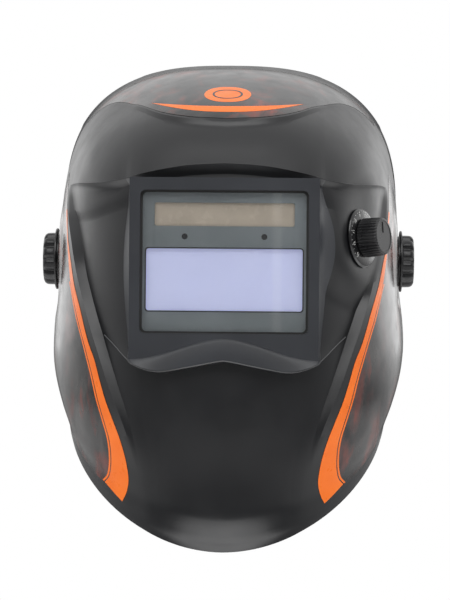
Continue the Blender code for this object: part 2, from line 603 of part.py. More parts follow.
# --- headgear -----------------------------------------------------------------------------------
def band_point(turn, half_width=BAND_HALF_WIDTH, inward=0.0):
    """Point of the headband's centre line; turn is 0 at the forehead and 90 degrees at the side."""
    power = 2 / 2.6
    swing = math.sin(turn)
    ahead = math.cos(turn)
    depth = BAND_CENTRE_Y - BAND_FRONT_Y - inward
    x = (half_width - inward) * math.copysign(abs(swing) ** power, swing)
    y = BAND_CENTRE_Y - depth * math.copysign(abs(ahead) ** power, ahead)
    return Vector((x, y, -BAND_DROP * y))


def build_headband():
    """Front half of the band, the sweatband inside it and the two crown straps over the head."""
    turns = [math.radians(106.5) * k / 16 for k in range(-16, 17)]
    heights = [10.0 + 2.5 * math.cos(turn / 2) ** 6 for turn in turns]
    strip("headband_front", [band_point(turn) for turn in turns],
          [Vector((0, 0, height)) for height in heights], 2.0, BLACK_NYLON)
    turns = [math.radians(58) * k / 10 for k in range(-10, 11)]
    strip("sweatband", [band_point(turn, inward=3.5) for turn in turns],
          [Vector((0, 0, 15.0))] * len(turns), 4.0, FOAM)
    for side, sign, rise in (("left", 1, 104.0), ("right", -1, 101.4)):
        points = [Vector((sign * 72.7, 2, -8))]
        power = 2 / 2.3
        for k in range(19):
            turn = math.radians(107 * k / 18)
            x = 72.7 * math.copysign(abs(math.cos(turn)) ** power, math.cos(turn))
            points.append(Vector((sign * x, 2, rise * abs(math.sin(turn)) ** power)))
        strip("crown_strap_" + side, points, [Vector((0, 9, 0))] * len(points), 1.6, BLACK_NYLON)


STRAP_ROUTE = ((71.3, 46.5), (70.2, 60.0), (66.4, 76.0), (58.6, 90.0), (44.6, 99.8), (24.0, REAR_Y))
TOOTH_PITCH = 2 * math.pi * RACK_PITCH_RADIUS / 10


def build_rear_strap(side, sign):
    """One tail of the band: a strap that ends in a toothed rack beside the pinion."""
    knots = [k / (len(STRAP_ROUTE) - 1) for k in range(len(STRAP_ROUTE))]
    centres = []
    across = []
    for part in np.linspace(0, 1, 14):
        x, y = through(knots, STRAP_ROUTE, part)
        height = 7.0 - 3.6 * float(smooth((part - 0.55) / 0.4))
        middle = -BAND_DROP * min(y, REAR_Y) + sign * 8.0 * float(smooth((part - 0.55) / 0.4))
        centres.append(Vector((sign * float(x), float(y), middle)))
        across.append(Vector((0, 0, height * (0.55 if part == 1 else 1.0))))
    edges = []
    for tooth in range(5, -3, -1):
        middle = (tooth + 0.5) * TOOTH_PITCH
        edges += [(middle + 0.85, 6.3), (middle + 0.4, 4.5), (middle - 0.4, 4.5), (middle - 0.85, 6.3)]
    edges.append((-20.0, 6.3))
    for x, low in edges:
        centres.append(Vector((sign * x, REAR_Y, REAR_Z + sign * (low + 10.0) / 2)))
        across.append(Vector((0, 0, (10.0 - low) / 2)))
    strip("rear_strap_" + side, centres, across, 1.8, BLACK_NYLON)


def build_ratchet():
    """Ratchet at the back of the head: two housing halves, detent ring, pinion, knob and pad."""
    low = REAR_Z - 15
    high = REAR_Z + 15
    inner = box("ratchet_housing_inner", (-27, 96.2, low), (27, 101.0, high), BLACK_NYLON)
    cut(inner, box("inner channel", (-40, 98.6, REAR_Z - 12), (40, 103, REAR_Z + 12), BLACK))
    cut(inner, disc("inner pilot hole", 0, REAR_Z, 2.4, 97.0, 100.0, BLACK, 16))
    outer = box("ratchet_housing_outer", (-38, 101.3, low), (38, 106.5, high), BLACK_NYLON)
    cut(outer, box("outer channel", (-40, 100, REAR_Z - 12), (40, 103.6, REAR_Z + 12), BLACK))
    cut(outer, disc("outer shaft hole", 0, REAR_Z, 2.9, 102.0, 108.0, BLACK, 16))
    centre = (0, 0, REAR_Z)
    axis = (0, 1, 0)
    toothed = {"points": (3, 4), "shape": (0.66, 1.0, 1.0, 0.66)}
    pinion = ((0, 97.3), (2.0, 97.3), (2.0, 99.2), (5.6, 99.2), (5.6, 103.0), (2.5, 103.0),
              (2.5, 113.4), (0, 113.4))
    turned("ratchet_pinion", pinion, GREY_NYLON, centre, axis, 40, toothed, math.radians(76.5))
    notched = {"points": (1, 2), "shape": (1.0, 0.94)}
    turned("detent_ring", ((3.4, 106.8), (13.4, 106.8), (13.4, 109.9), (3.4, 109.9)), GREY_NYLON,
           centre, axis, 48, notched)
    knob = ((0, 114.1), (2.8, 114.1), (2.8, 110.5), (14.2, 110.5), (14.2, 106.9), (17.0, 106.9),
            (18.0, 108.4), (18.0, 117.4), (15.5, 120.5), (0, 120.5))
    fluted = {"points": (6, 7), "shape": (1.0, 1.0, 0.94)}
    turned("ratchet_knob", knob, BLACK_NYLON, centre, axis, 48, fluted)
    box("rear_pad", (-34, 91.0, REAR_Z - 14), (34, 95.8, REAR_Z + 14), FOAM)


build_shell()
build_cartridge()
build_shade_dial()
build_shade_lead()
for SIDE, SIGN in (("left", 1), ("right", -1)):
    build_pivot(SIDE, SIGN)
    build_rear_strap(SIDE, SIGN)
build_headband()
build_ratchet()
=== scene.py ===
"""Looks of an auto-darkening welding helmet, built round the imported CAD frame.

Frame: +Z up, the helmet faces -Y, +X is the wearer's left. The origin is the middle of the axis
through both side knobs. Lengths in the tables below are millimetres; MM turns them into metres.
"""
import json
import math

import bmesh
import bpy
import numpy as np
from mathutils import Matrix, Vector


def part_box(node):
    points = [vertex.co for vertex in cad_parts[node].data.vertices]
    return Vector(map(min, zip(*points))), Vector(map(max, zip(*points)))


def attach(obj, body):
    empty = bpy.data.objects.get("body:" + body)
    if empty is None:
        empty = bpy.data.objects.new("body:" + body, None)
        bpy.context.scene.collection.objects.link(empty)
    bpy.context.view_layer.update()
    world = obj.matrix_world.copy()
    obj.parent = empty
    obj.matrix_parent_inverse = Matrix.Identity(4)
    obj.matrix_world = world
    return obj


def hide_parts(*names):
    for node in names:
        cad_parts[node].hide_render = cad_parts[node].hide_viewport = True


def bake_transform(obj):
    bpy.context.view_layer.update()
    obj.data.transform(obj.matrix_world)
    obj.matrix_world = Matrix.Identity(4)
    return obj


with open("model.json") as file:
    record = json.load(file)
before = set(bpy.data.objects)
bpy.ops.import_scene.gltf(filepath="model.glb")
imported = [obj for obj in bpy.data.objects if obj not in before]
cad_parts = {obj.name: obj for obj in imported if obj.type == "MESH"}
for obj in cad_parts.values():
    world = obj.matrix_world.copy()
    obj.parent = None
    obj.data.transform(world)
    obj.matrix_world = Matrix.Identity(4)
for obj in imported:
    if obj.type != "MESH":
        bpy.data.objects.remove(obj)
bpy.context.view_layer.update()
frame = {"nodes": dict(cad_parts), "record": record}

MM = 0.001
NODES = frame["nodes"]
TAU = 2 * math.pi
SIDES = (("left", 1), ("right", -1))


def node_box(name):
    """Lowest and highest corner of a CAD node, in millimetres."""
    low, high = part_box(name)
    return np.array(low) / MM, np.array(high) / MM


def add_object(name, data):
    """Link a new object to the scene."""
    made = bpy.data.objects.new(name, data)
    bpy.context.scene.collection.objects.link(made)
    return made


# --- materials ---
class Nodes:
    """Short names for adding nodes to a material's tree or the world's."""

    def __init__(self, tree, place="Object"):
        self.tree = tree
        self.shader = tree.nodes.get("Principled BSDF")
        self.place = self.add("TexCoord", place)

    def put(self, value, socket):
        """Link an output to an input socket, or set the input's value."""
        if isinstance(value, bpy.types.NodeSocket):
            self.tree.links.new(value, socket)
        else:
            socket.default_value = value

    def add(self, kind, result, inputs=None, **settings):
        """Add a node, fill its inputs and return one of its outputs."""
        node = self.tree.nodes.new("ShaderNode" + kind)
        for key, value in settings.items():
            setattr(node, key, value)
        for key, value in (inputs or {}).items():
            self.put(value, node.inputs[key])
        return node.outputs[result]

    def noise(self, scale, detail=3.0, roughness=0.5, stretch=(1, 1, 1), distortion=0.0):
        """Noise in metres: scale is features per metre, and stretch squeezes them by axis."""
        mapped = self.add("Mapping", "Vector", {"Scale": stretch, "Vector": self.place})
        return self.add("TexNoise", "Fac", {"Scale": scale, "Detail": detail, "Roughness": roughness,
                                            "Distortion": distortion, "Vector": mapped})

    def spread(self, value, low=0.0, high=1.0, start=0.3, stop=0.7, **settings):
        """Map a value from start..stop to low..high."""
        return self.add("MapRange", "Result", {"From Min": start, "From Max": stop, "To Min": low,
                                               "To Max": high, "Value": value}, **settings)

    def blend(self, share, first, second):
        """Mix two colours; the first may be an output."""
        start = (*first, 1.0) if isinstance(first, tuple) else first
        return self.add("Mix", 2, {"Factor": share, 6: start, 7: (*second, 1.0)}, data_type="RGBA")

    def times(self, first, second, operation="MULTIPLY"):
        """Combine two values."""
        return self.add("Math", 0, {0: first, 1: second}, operation=operation)

    def colour(self, value):
        """Use a value as the base colour."""
        self.put(value, self.shader.inputs["Base Color"])

    def rough(self, value):
        """Use a value as the roughness."""
        self.put(value, self.shader.inputs["Roughness"])

    def mottle(self, first, second, scale, detail=4.0):
        """Cloudy mix of two base colours."""
        self.colour(self.blend(self.spread(self.noise(scale, detail)), first, second))

    def bump(self, height, strength, distance):
        """Raise the surface by a height map, on top of any bump that is already there."""
        normal = self.shader.inputs["Normal"]
        inputs = {"Strength": strength, "Distance": distance, "Height": height}
        if normal.links:
            inputs["Normal"] = normal.links[0].from_socket
        self.put(self.add("Bump", "Normal", inputs), normal)


def detailed(name, colour, roughness, **settings):
    """A new material and its nodes; settings are sockets by name, such as Metallic=1.0."""
    made = bpy.data.materials.new(name)
    made.use_nodes = True
    nodes = Nodes(made.node_tree)
    nodes.colour((*colour, 1.0))
    nodes.rough(roughness)
    for key, value in settings.items():
        nodes.put(value, nodes.shader.inputs[key.replace("_", " ")])
    return made, nodes


def scaled(colour, factor):
    """A lighter or darker shade of a colour."""
    return tuple(part * factor for part in colour)


def moulded(name, colour, roughness, grain, grain_height=0.00003, **settings):
    """Moulded plastic: a fine grain, faint cloudiness and uneven gloss."""
    made, nodes = detailed(name, colour, roughness, **settings)
    nodes.mottle(scaled(colour, 0.86), scaled(colour, 1.16), 22.0)
    nodes.rough(nodes.spread(nodes.noise(60.0, 5.0, 0.6), roughness - 0.035, roughness + 0.045))
    nodes.bump(nodes.noise(grain, 2.0, 0.6), 0.35, grain_height)
    return made


def smoky_print():
    """Printed film: black with grey smoke and dull red embers under a clear gloss."""
    soot = (0.008, 0.008, 0.009)
    ash = (0.070, 0.066, 0.064)
    ember = (0.22, 0.030, 0.016)
    made, nodes = detailed("smoky print", soot, 0.2, Specular_IOR_Level=0.42)
    smoke = nodes.noise(26.0, 7.0, 0.62, (1.0, 0.6, 0.55), 0.9)
    streaks = nodes.noise(60.0, 6.0, 0.6, (1.3, 1.0, 0.35), 0.5)
    grey = nodes.blend(nodes.spread(smoke, start=0.42, stop=0.72), soot, ash)
    streaked = nodes.spread(streaks, start=0.50, stop=0.74)
    hidden = nodes.spread(smoke, start=0.40, stop=0.62)
    nodes.colour(nodes.blend(nodes.times(streaked, hidden), grey, ember))
    nodes.rough(nodes.spread(nodes.noise(90.0, 4.0), 0.16, 0.26))
    nodes.bump(nodes.noise(900.0, 2.0), 0.15, 0.00002)
    return made


def mottled(name, first, second, clouds, gloss, low, high, grain_height=0.0, **settings):
    """Smooth surface between two colours; clouds and gloss are the scale and detail of their noise."""
    made, nodes = detailed(name, first, low, **settings)
    nodes.mottle(first, second, *clouds)
    nodes.rough(nodes.spread(nodes.noise(*gloss), low, high))
    if grain_height:
        nodes.bump(nodes.noise(1500.0, 2.0), 0.12, grain_height)
    return made


def clear_plastic():
    """Clear polycarbonate with faint wipe marks."""
    made, nodes = detailed("clear polycarbonate", (0.97, 0.98, 0.98), 0.02, Transmission_Weight=1.0, IOR=1.45)
    nodes.rough(nodes.spread(nodes.noise(40.0, 6.0, 0.6, (1.0, 1.0, 3.0)), 0.012, 0.035))
    return made


def plated(name, colour, roughness):
    """Plated metal with fine turning marks."""
    made, nodes = detailed(name, colour, roughness, Metallic=1.0)
    marks = nodes.noise(900.0, 3.0, 0.6, (1, 1, 40))
    nodes.rough(nodes.spread(marks, roughness - 0.08, roughness + 0.1))
    nodes.mottle(scaled(colour, 0.85), colour, 90.0)
    nodes.bump(marks, 0.2, 0.00002)
    return made


def terry(name, colour, scale):
    """Looped towelling: dense little loops over a soft unevenness."""
    made, nodes = detailed(name, colour, 0.95, Sheen_Weight=0.35, Sheen_Roughness=0.5)
    loops = nodes.add("TexVoronoi", "Distance", {"Scale": scale, "Vector": nodes.place})
    nodes.colour(nodes.blend(nodes.spread(loops, start=0.0), scaled(colour, 1.5), scaled(colour, 0.55)))
    nodes.bump(nodes.noise(120.0, 3.0), 0.4, 0.0006)
    nodes.bump(loops, 0.9, 0.0007)
    return made


def circuit_green():
    """Solder mask with a faint pattern of copper tracks."""
    made, nodes = detailed("solder mask", (0.03, 0.14, 0.06), 0.4)
    bands = nodes.add("TexWave", "Fac", {"Scale": 160.0, "Distortion": 6.0, "Vector": nodes.place},
                      bands_direction="Z")
    tracks = nodes.spread(bands, start=0.6)
    nodes.colour(nodes.blend(tracks, (0.025, 0.12, 0.05), (0.05, 0.20, 0.09)))
    nodes.bump(tracks, 0.3, 0.00005)
    return made


SHELL_BLACK = moulded("shell black", (0.0045, 0.0048, 0.0060), 0.36, 2600.0)
# Painted light: the window frame is the shell's own black plastic, drawn with a lighter copy of it that
# stands in for the light the frame catches.
FRAME_PAINTED_LIGHT = moulded("frame black painted light", (0.024, 0.026, 0.031), 0.40, 2600.0)
# Painted light: a much lighter copy of the shell plastic for the brow groove, filling the shade there; the
# mouth's edge line uses it as a painted highlight.
GROOVE_PAINTED_LIGHT = moulded("groove black painted fill light", (0.075, 0.076, 0.079), 0.50, 2600.0)
KNOB_BLACK = moulded("knob black", (0.011, 0.011, 0.012), 0.28, 1800.0, Specular_IOR_Level=0.36)
BLACK_NYLON = moulded("black nylon", (0.020, 0.020, 0.022), 0.42, 1500.0, 0.00005)
GREY_NYLON = moulded("grey nylon", (0.050, 0.052, 0.056), 0.46, 1500.0, 0.00005)
CASE_GREY = moulded("filter case grey", (0.225, 0.250, 0.265), 0.42, 1700.0)
CASE_DARK = moulded("case edge", (0.020, 0.021, 0.024), 0.35, 1700.0, 0.00002)
DIAL_WHITE = moulded("dial marks", (0.78, 0.78, 0.76), 0.5, 2500.0, 0.00001)
DIAL_BLACK = moulded("dial black", (0.010, 0.010, 0.011), 0.22, 1800.0, 0.00002, Coat_Weight=0.2)
RUBBER = moulded("rubber", (0.016, 0.016, 0.016), 0.72, 1400.0, 0.00006)
SENSOR = moulded("sensor lens", (0.03, 0.03, 0.035), 0.12, 600.0, 0.00001, Coat_Weight=0.6)
SMOKY = smoky_print()
ORANGE = mottled("orange print", (0.80, 0.150, 0.012), (0.86, 0.180, 0.020), (70.0, 5.0), (150.0, 4.0),
                 0.26, 0.36, 0.00002, Specular_IOR_Level=0.22)
CLEAR = clear_plastic()
# The filter's lavender coating, with a painted glow: a faint emission lightens the glass, which is no lamp.
GLOWING_COATED_GLASS = mottled("coated filter glass painted glow", (0.70, 0.75, 0.99), (0.73, 0.775, 1.0), (30.0, 4.0), (120.0, 3.0),
                 0.10, 0.16, Emission_Color=(0.58, 0.58, 1.0, 1.0), Emission_Strength=0.22)
SOLAR = mottled("solar cell", (0.615, 0.525, 0.425), (0.690, 0.590, 0.485), (80.0, 4.0), (200.0, 2.0),
                0.2, 0.3)
STEEL = plated("zinc plated steel", (0.62, 0.62, 0.64), 0.32)
BRASS = plated("brass", (0.72, 0.52, 0.22), 0.34)
TERRY = terry("black towelling", (0.030, 0.031, 0.036), 950.0)
KNIT = terry("dark knit over foam", (0.040, 0.041, 0.046), 1500.0)
GREEN = circuit_green()

# --- camera and studio ---
CAMERA_AIM = Vector((0.0003, -0.112, -0.0246))
CAMERA_DISTANCE = 1.4
CAMERA_AZIMUTH = math.radians(1.2)
CAMERA_ROLL = math.radians(0.5)
# The surroundings fade along an axis of the direction: axis, from, to, brightness at each.
FADES = (
    ("Y", -0.70, 0.15, 0.23, 1.05),
    ("Z", -0.20, 0.04, 0.26, 1.0),
    ("Y", 0.92, 0.985, 1.0, 0.10),
)
# Name, place, target, width and height, watts.
SOFTBOXES = (
    ("front softbox", (0.0, -1.60, 1.80), (0, -0.10, -0.02), (3.0, 1.6), 56.0),
    ("low softbox", (0.0, -0.10, -0.59), (0, -0.10, -0.10), (2.4, 0.55), 4.2),
    ("narrow softbox", (0.030, -1.56, 0.02), (0.030, -0.12, -0.005), (0.010, 0.36), 0.007),
    ("right softbox", (1.00, 1.35, 0.22), (0.09, -0.02, -0.02), (1.0, 0.62), 2.0),
    ("left softbox", (-1.00, 1.35, 0.22), (-0.09, -0.02, -0.02), (1.0, 0.62), 1.5),
)
FLOOR_Z = -0.62
FLOOR_REACH = 2.4


def build_camera():
    """A long lens in front of the window, turned slightly to the wearer's left, with a little roll."""
    data = bpy.data.cameras.new("camera")
    data.sensor_width = 36.0
    data.lens = 147.4
    camera = add_object("camera", data)
    back = Vector((math.sin(CAMERA_AZIMUTH), -math.cos(CAMERA_AZIMUTH), 0.0))
    level = (-back).to_track_quat("-Z", "Y").to_matrix()
    camera.location = CAMERA_AIM + back * CAMERA_DISTANCE
    camera.rotation_mode = "QUATERNION"
    camera.rotation_quaternion = (Matrix.Rotation(CAMERA_ROLL, 3, back) @ level).to_quaternion()
    bpy.context.scene.camera = camera


def area_light(name, location, target, size, power):
    """A softbox that faces its target."""
    data = bpy.data.lights.new(name, "AREA")
    data.shape = "RECTANGLE"
    data.size, data.size_y = size
    data.energy = power
    light = add_object(name, data)
    light.location = location
    light.visible_camera = False
    light.rotation_mode = "QUATERNION"
    light.rotation_quaternion = (Vector(target) - Vector(location)).to_track_quat("-Z", "Y")


def build_surroundings():
    """White surroundings, darker in front of the helmet, below it and right behind it."""
    world = bpy.data.worlds.new("studio")
    world.use_nodes = True
    bpy.context.scene.world = world
    nodes = Nodes(world.node_tree, "Generated")
    direction = nodes.add("SeparateXYZ", "X", {"Vector": nodes.place}).node
    strength = None
    for axis, start, stop, low, high in FADES:
        share = nodes.spread(direction.outputs[axis], low, high, start, stop, interpolation_type="SMOOTHSTEP")
        strength = nodes.times(strength, share) if strength else share
    # The backdrop itself is plain white.
    seen = nodes.add("LightPath", "Is Camera Ray")
    background = world.node_tree.nodes["Background"]
    background.inputs["Color"].default_value = (1.0, 1.0, 1.0, 1.0)
    nodes.put(nodes.times(strength, seen, "MAXIMUM"), background.inputs["Strength"])


def build_studio():
    """Surroundings, softboxes and a plain pale floor."""
    bpy.context.scene.view_settings.view_transform = "Standard"
    build_surroundings()
    for softbox in SOFTBOXES:
        area_light(*softbox)
    ground = bpy.data.meshes.new("floor")
    corners = [(x * FLOOR_REACH, y * FLOOR_REACH, FLOOR_Z) for x, y in ((-1, -1), (1, -1), (1, 1), (-1, 1))]
    ground.from_pydata(corners, [], [(0, 1, 2, 3)])
    ground.materials.append(detailed("floor paint", (0.82, 0.82, 0.82), 0.8)[0])
    floor = add_object("floor", ground)


# --- shell surface ---
WALL = 2.6
STEP_WALL = 2.4
FRAME_FRONT_Y = -131.0
FRAME_HALF_WIDTH = 53.5
FRAME_TOP_Z = 44.3
WINDOW_HALF_WIDTH = 47.5
WINDOW_TOP_Z = 37.2
WINDOW_BOTTOM_Z = -43.6
WINDOW_CORNER = 3.2
PIVOT_SEAT_X = 103.5
PIVOT_BOSS_HEIGHT = 0.6
CHEEK_SHIFT = 2.2

# How far down (0 top rim, 1 chin rim), the centre point's y and z, the side rim's x, y and z,
# and the exponent that makes the curve full.
STATIONS = np.array((
    (0.0, 50.0, 122.2, 103.6, 42.0, 30.0, 2.68),
    (0.1, -5.0, 116.5, 104.1, 42.0, 27.0, 2.48),
    (0.2, -58.0, 100.5, 104.3, 42.0, 23.0, 2.40),
    (0.3, -100.0, 80.0, 104.4, 41.0, 17.0, 2.40),
    (0.4, -122.0, 54.0, 104.6, 40.0, 8.0, 2.44),
    (0.5, -127.0, 22.0, 104.9, 39.0, -4.0, 2.46),
    (0.6, -128.0, -14.0, 105.7, 37.0, -18.0, 2.46),
    (0.7, -128.0, -55.0, 107.8, 31.0, -38.0, 2.38),
    (0.8, -127.0, -94.0, 107.6, 21.0, -56.0, 2.24),
    (0.9, -124.0, -131.0, 103.0, 9.0, -73.0, 2.04),
    (1.0, -125.0, -167.0, 95.5, -5.0, -87.0, 1.84),
))
# Row lines, from the top rim to the chin rim: how far down each lies at the places of ROUND.
ROUND = (0.0, 0.1, 0.2, 0.3, 0.4, 0.55, 0.7, 1.0)
ROWS = {
    "top rim": (0.0,) * 8,
    "crest": (0.313, 0.304, 0.278, 0.225, 0.165, 0.110, 0.085, 0.070),
    "crest foot": (0.324, 0.315, 0.289, 0.236, 0.176, 0.121, 0.096, 0.081),
    "brow": (0.408, 0.411, 0.416, 0.4185, 0.414, 0.387, 0.340, 0.305),
    "brow foot": (0.418, 0.421, 0.424, 0.4255, 0.423, 0.397, 0.350, 0.315),
    "frame foot": (0.431, 0.431, 0.430, 0.429, 0.431, 0.420, 0.380, 0.340),
    "frame top": (0.445, 0.445, 0.445, 0.447, 0.452, 0.450, 0.420, 0.360),
    "window top": (0.470, 0.470, 0.470, 0.470, 0.475, 0.475, 0.450, 0.385),
    "window bottom": (0.672, 0.672, 0.672, 0.668, 0.650, 0.625, 0.600, 0.570),
    "frame bottom": (0.690, 0.690, 0.692, 0.690, 0.664, 0.640, 0.615, 0.585),
    "mouth edge": (0.710, 0.721, 0.7285, 0.718, 0.692, 0.660, 0.637, 0.610),
    "mouth foot": (0.713, 0.724, 0.7315, 0.721, 0.695, 0.663, 0.640, 0.613),
    "valley": (0.947, 0.947, 0.946, 0.944, 0.942, 0.940, 0.935, 0.925),
    "chin rim": (1.0,) * 8,
}
ROW_VALUES = np.array(tuple(ROWS.values()))
# Grid steps between the row lines, and below between the column lines from the middle to the side.
ROW_STEPS = (18, 3, 14, 2, 3, 2, 4, 22, 4, 8, 3, 24, 9)
# How far round the foot and the edge of the cheek step lie, at the places of DOWN.
DOWN = (0.0, 0.30, 0.38, 0.44, 0.52, 0.58, 0.64, 0.70, 0.76, 0.82, 0.90, 1.0)
CHEEK_FOOT = (0.660, 0.686, 0.684, 0.660, 0.612, 0.571, 0.501, 0.429, 0.368, 0.322, 0.304, 0.340)
CHEEK_EDGE = (0.690, 0.714, 0.708, 0.693, 0.640, 0.590, 0.519, 0.447, 0.392, 0.341, 0.321, 0.358)
COLUMN_STEPS = (14, 3, 6, 12, 4, 14, 10)
CROWDING = 1.7
# Height over the base surface at each row line: in the middle, on the cheek and at the side.
RELIEF_MIDDLE = (0.0, 1.6, 0.0, 2.5, -6.0, -6.5, -4.5, -4.5, -4.5, -3.5, -0.5, -7.0, -5.0, 2.5)
RELIEF_CHEEK = (0.0, 0.0, 0.0, 0.0, -1.0, -2.0, -3.0, -4.5, -5.0, -5.2, -5.5, -5.5, -1.0, 0.8)
RELIEF_SIDE = (0.0, 0.0, 0.0, 0.0, 0.0, 0.0, 0.0, 0.0, 0.0, 0.0, 0.0, 0.0, -1.0, 0.8)
SMOOTH_SPANS = ((4, 10), (11, 13))
# The rim's bead: the column and rows where it starts, and its height.
BEAD_SIDE = 6.88
BEAD_CHIN = 12.75
BEAD_TOP = 0.06
BEAD_HEIGHT = 0.9
TOP_BEAD_EXTRA = 1.3
# Rows over which the cheek step dies away, and how the dish of the lower face grows by column.
STEP_FADE = (11.35, 11.80)
DISH = (0.0, 0.60, 0.70, 0.755, 1.0)
DISH_START = 0.15

SHADE_SEAT = Vector((78.2, -84.2, 11.8))
SHADE_AXIS = Vector((0.875, -0.475, 0.09)).normalized()
DIAL_TURN = SHADE_AXIS.to_track_quat("Z", "Y").to_matrix()
SEAT_FLAT = 19.0
SEAT_BLEND = 44.0


def unit(value):
    """Hold a value between 0 and 1."""
    return np.clip(value, 0, 1)


def smooth(value):
    """Ease from 0 to 1 with flat ends."""
    held = unit(value)
    return held * held * (3.0 - 2.0 * held)


def through(knots, values, at):
    """A smooth curve through the values at the knots."""
    knots, values, at = (np.asarray(part, float) for part in (knots, values, at))
    deep = (1,) * (values.ndim - 1)
    gaps = np.diff(knots).reshape((-1,) + deep)
    slopes = np.diff(values, axis=0) / gaps
    turning = (slopes[:-1] * gaps[1:] + slopes[1:] * gaps[:-1]) / (gaps[:-1] + gaps[1:])
    tangents = np.concatenate((slopes[:1], turning, slopes[-1:]))
    cell = np.clip(np.searchsorted(knots, at, side="right") - 1, 0, len(gaps) - 1)
    width = gaps[cell]
    part = (at - knots[cell]).reshape(at.shape + deep) / width
    rest = 1.0 - part
    return ((1 + 2 * part) * rest ** 2 * values[cell] + part * rest ** 2 * width * tangents[cell]
            + part ** 2 * (3 - 2 * part) * values[cell + 1]
            - part ** 2 * rest * width * tangents[cell + 1])


def base_point(around, down):
    """Point of the base surface, on the +X half."""
    row = through(STATIONS[:, 0], STATIONS[:, 1:], down)
    front_y, front_z, side_x, side_y, side_z, fullness = (row[..., k] for k in range(6))
    turn = unit(around) * math.pi / 2
    out = np.sin(turn) ** (2 / fullness)
    back = 1.0 - np.cos(turn) ** (2 / fullness)
    return np.stack((side_x * out, front_y + (side_y - front_y) * back,
                     front_z + (side_z - front_z) * back), axis=-1)


def base_normal(around, down):
    """Outward normal of the base surface."""
    step = 0.004
    a = np.clip(around, step, 1.0 - step)
    d = np.clip(down, step, 1.0 - step)
    across = base_point(a + step, d) - base_point(a - step, d)
    along = base_point(a, d + step) - base_point(a, d - step)
    normal = np.cross(along, across)
    normal[..., 0] = np.where(np.asarray(around) < step, 0.0, normal[..., 0])
    return normal / np.linalg.norm(normal, axis=-1, keepdims=True)


def column_lines(down):
    """How far round each of the eight column lines lies, at the given distance down."""
    row = through(STATIONS[:, 0], STATIONS[:, 1:], down)
    side_x = row[..., 2]
    fullness = row[..., 5]
    narrow = 1.0 - 0.30 * smooth((down - 0.70) / 0.22)
    bulge = np.sin(math.pi * unit((down - 0.44) / 0.26))
    lines = [np.zeros_like(down)]
    for x in (WINDOW_HALF_WIDTH, FRAME_HALF_WIDTH, FRAME_HALF_WIDTH + 3.5 + 4.3 * bulge):
        share = (x * narrow / side_x) ** (fullness / 2)
        lines.append(np.arcsin(share) * 2 / math.pi)
    foot = through(DOWN, CHEEK_FOOT, down)
    edge = through(DOWN, CHEEK_EDGE, down)
    lines += [foot, edge, edge + 0.55 * (1.0 - edge), np.ones_like(down)]
    return np.stack(lines, axis=-1)


def row_lines(around):
    """How far down each of the fourteen row lines lies, at the given distance round."""
    return np.stack([through(ROUND, values, around) for values in ROW_VALUES], axis=-1)


def neighbours(lines, cell):
    """Of a stack of lines, the values of the line in each place and of the line after it."""
    return [np.take_along_axis(lines, cell[..., None] + after, axis=-1)[..., 0] for after in (0, 1)]


def between(lines, place):
    """Read a stack of lines at a place such as 3.5, half-way from line 3 to line 4."""
    cell = np.clip(np.floor(place).astype(int), 0, lines.shape[-1] - 2)
    low, high = neighbours(lines, cell)
    return low + (high - low) * (place - cell)


def place_in(lines, value):
    """The reverse of between: the place among the lines at which a value lies."""
    cell = np.clip((value[..., None] >= lines).sum(axis=-1) - 1, 0, lines.shape[-1] - 2)
    low, high = neighbours(lines, cell)
    return cell + unit((value - low) / (high - low))


def relief_along(row, heights):
    """Height along the rows: straight walls at the edges, smooth between them."""
    heights = np.array(heights)
    flat = np.interp(row, np.arange(len(heights)), heights)
    for first, last in SMOOTH_SPANS:
        keys = np.arange(first, last + 1)
        curved = through(keys, heights[first:last + 1], np.clip(row, first, last))
        flat = np.where((row > first) & (row < last), curved, flat)
    # The crest panel and the brow's lip rise only close to their edges.
    flat = np.where(row < 1, heights[1] * unit(row) ** 3, flat)
    return np.where((row > 2) & (row < 3), heights[3] * unit(row - 2) ** 4, flat)


def step_share(row):
    """How much of the cheek step is left: all of it down to the mouth, none near the chin."""
    return 1.0 - smooth((row - STEP_FADE[0]) / (STEP_FADE[1] - STEP_FADE[0]))


def relief(column, row):
    """Height over the base surface."""
    side = relief_along(row, RELIEF_SIDE)
    cheek = side + (relief_along(row, RELIEF_CHEEK) - side) * step_share(row)
    side = side * (1.0 - smooth(column - 6.0))
    # The brow dies away sooner towards the sides than the mouth does.
    start = np.interp(row, (6, 8), (0.6, 2.0))
    outward = smooth((column - start) / (4.0 - start))
    dished = smooth((np.interp(column, np.arange(5), DISH) - DISH_START) / (1.0 - DISH_START))
    outward = outward + (dished - outward) * unit(row - 10.0)
    front = relief_along(row, RELIEF_MIDDLE) * (1 - outward) + cheek * outward
    step = unit(column - 4.0)
    top = unit((BEAD_TOP - row) / 0.02)
    rim = np.maximum(unit((column - BEAD_SIDE) / 0.04), unit((row - BEAD_CHIN) / 0.08))
    bead = BEAD_HEIGHT * np.maximum(rim, top) + TOP_BEAD_EXTRA * top * (1.0 - smooth((column - 2.0) / 4.0))
    return front * (1 - step) + side * step + bead


def frame_bottom(x):
    """The wavy lower edge of the window frame, high in the middle."""
    return -46.5 - 11.9 * smooth(np.abs(x) / FRAME_HALF_WIDTH)


def flatten(points, centre, axis, level, flat, blend):
    """Press the points near a seat into its plane, fading out between the two radii."""
    centre = np.array(centre)
    axis = np.array(axis)
    height = (points - centre) @ axis
    radial = np.linalg.norm(points - centre - height[..., None] * axis, axis=-1)
    share = smooth((blend - radial) / (blend - flat)) * (np.abs(height) < 24.0)
    return points - (share * (height - level))[..., None] * axis


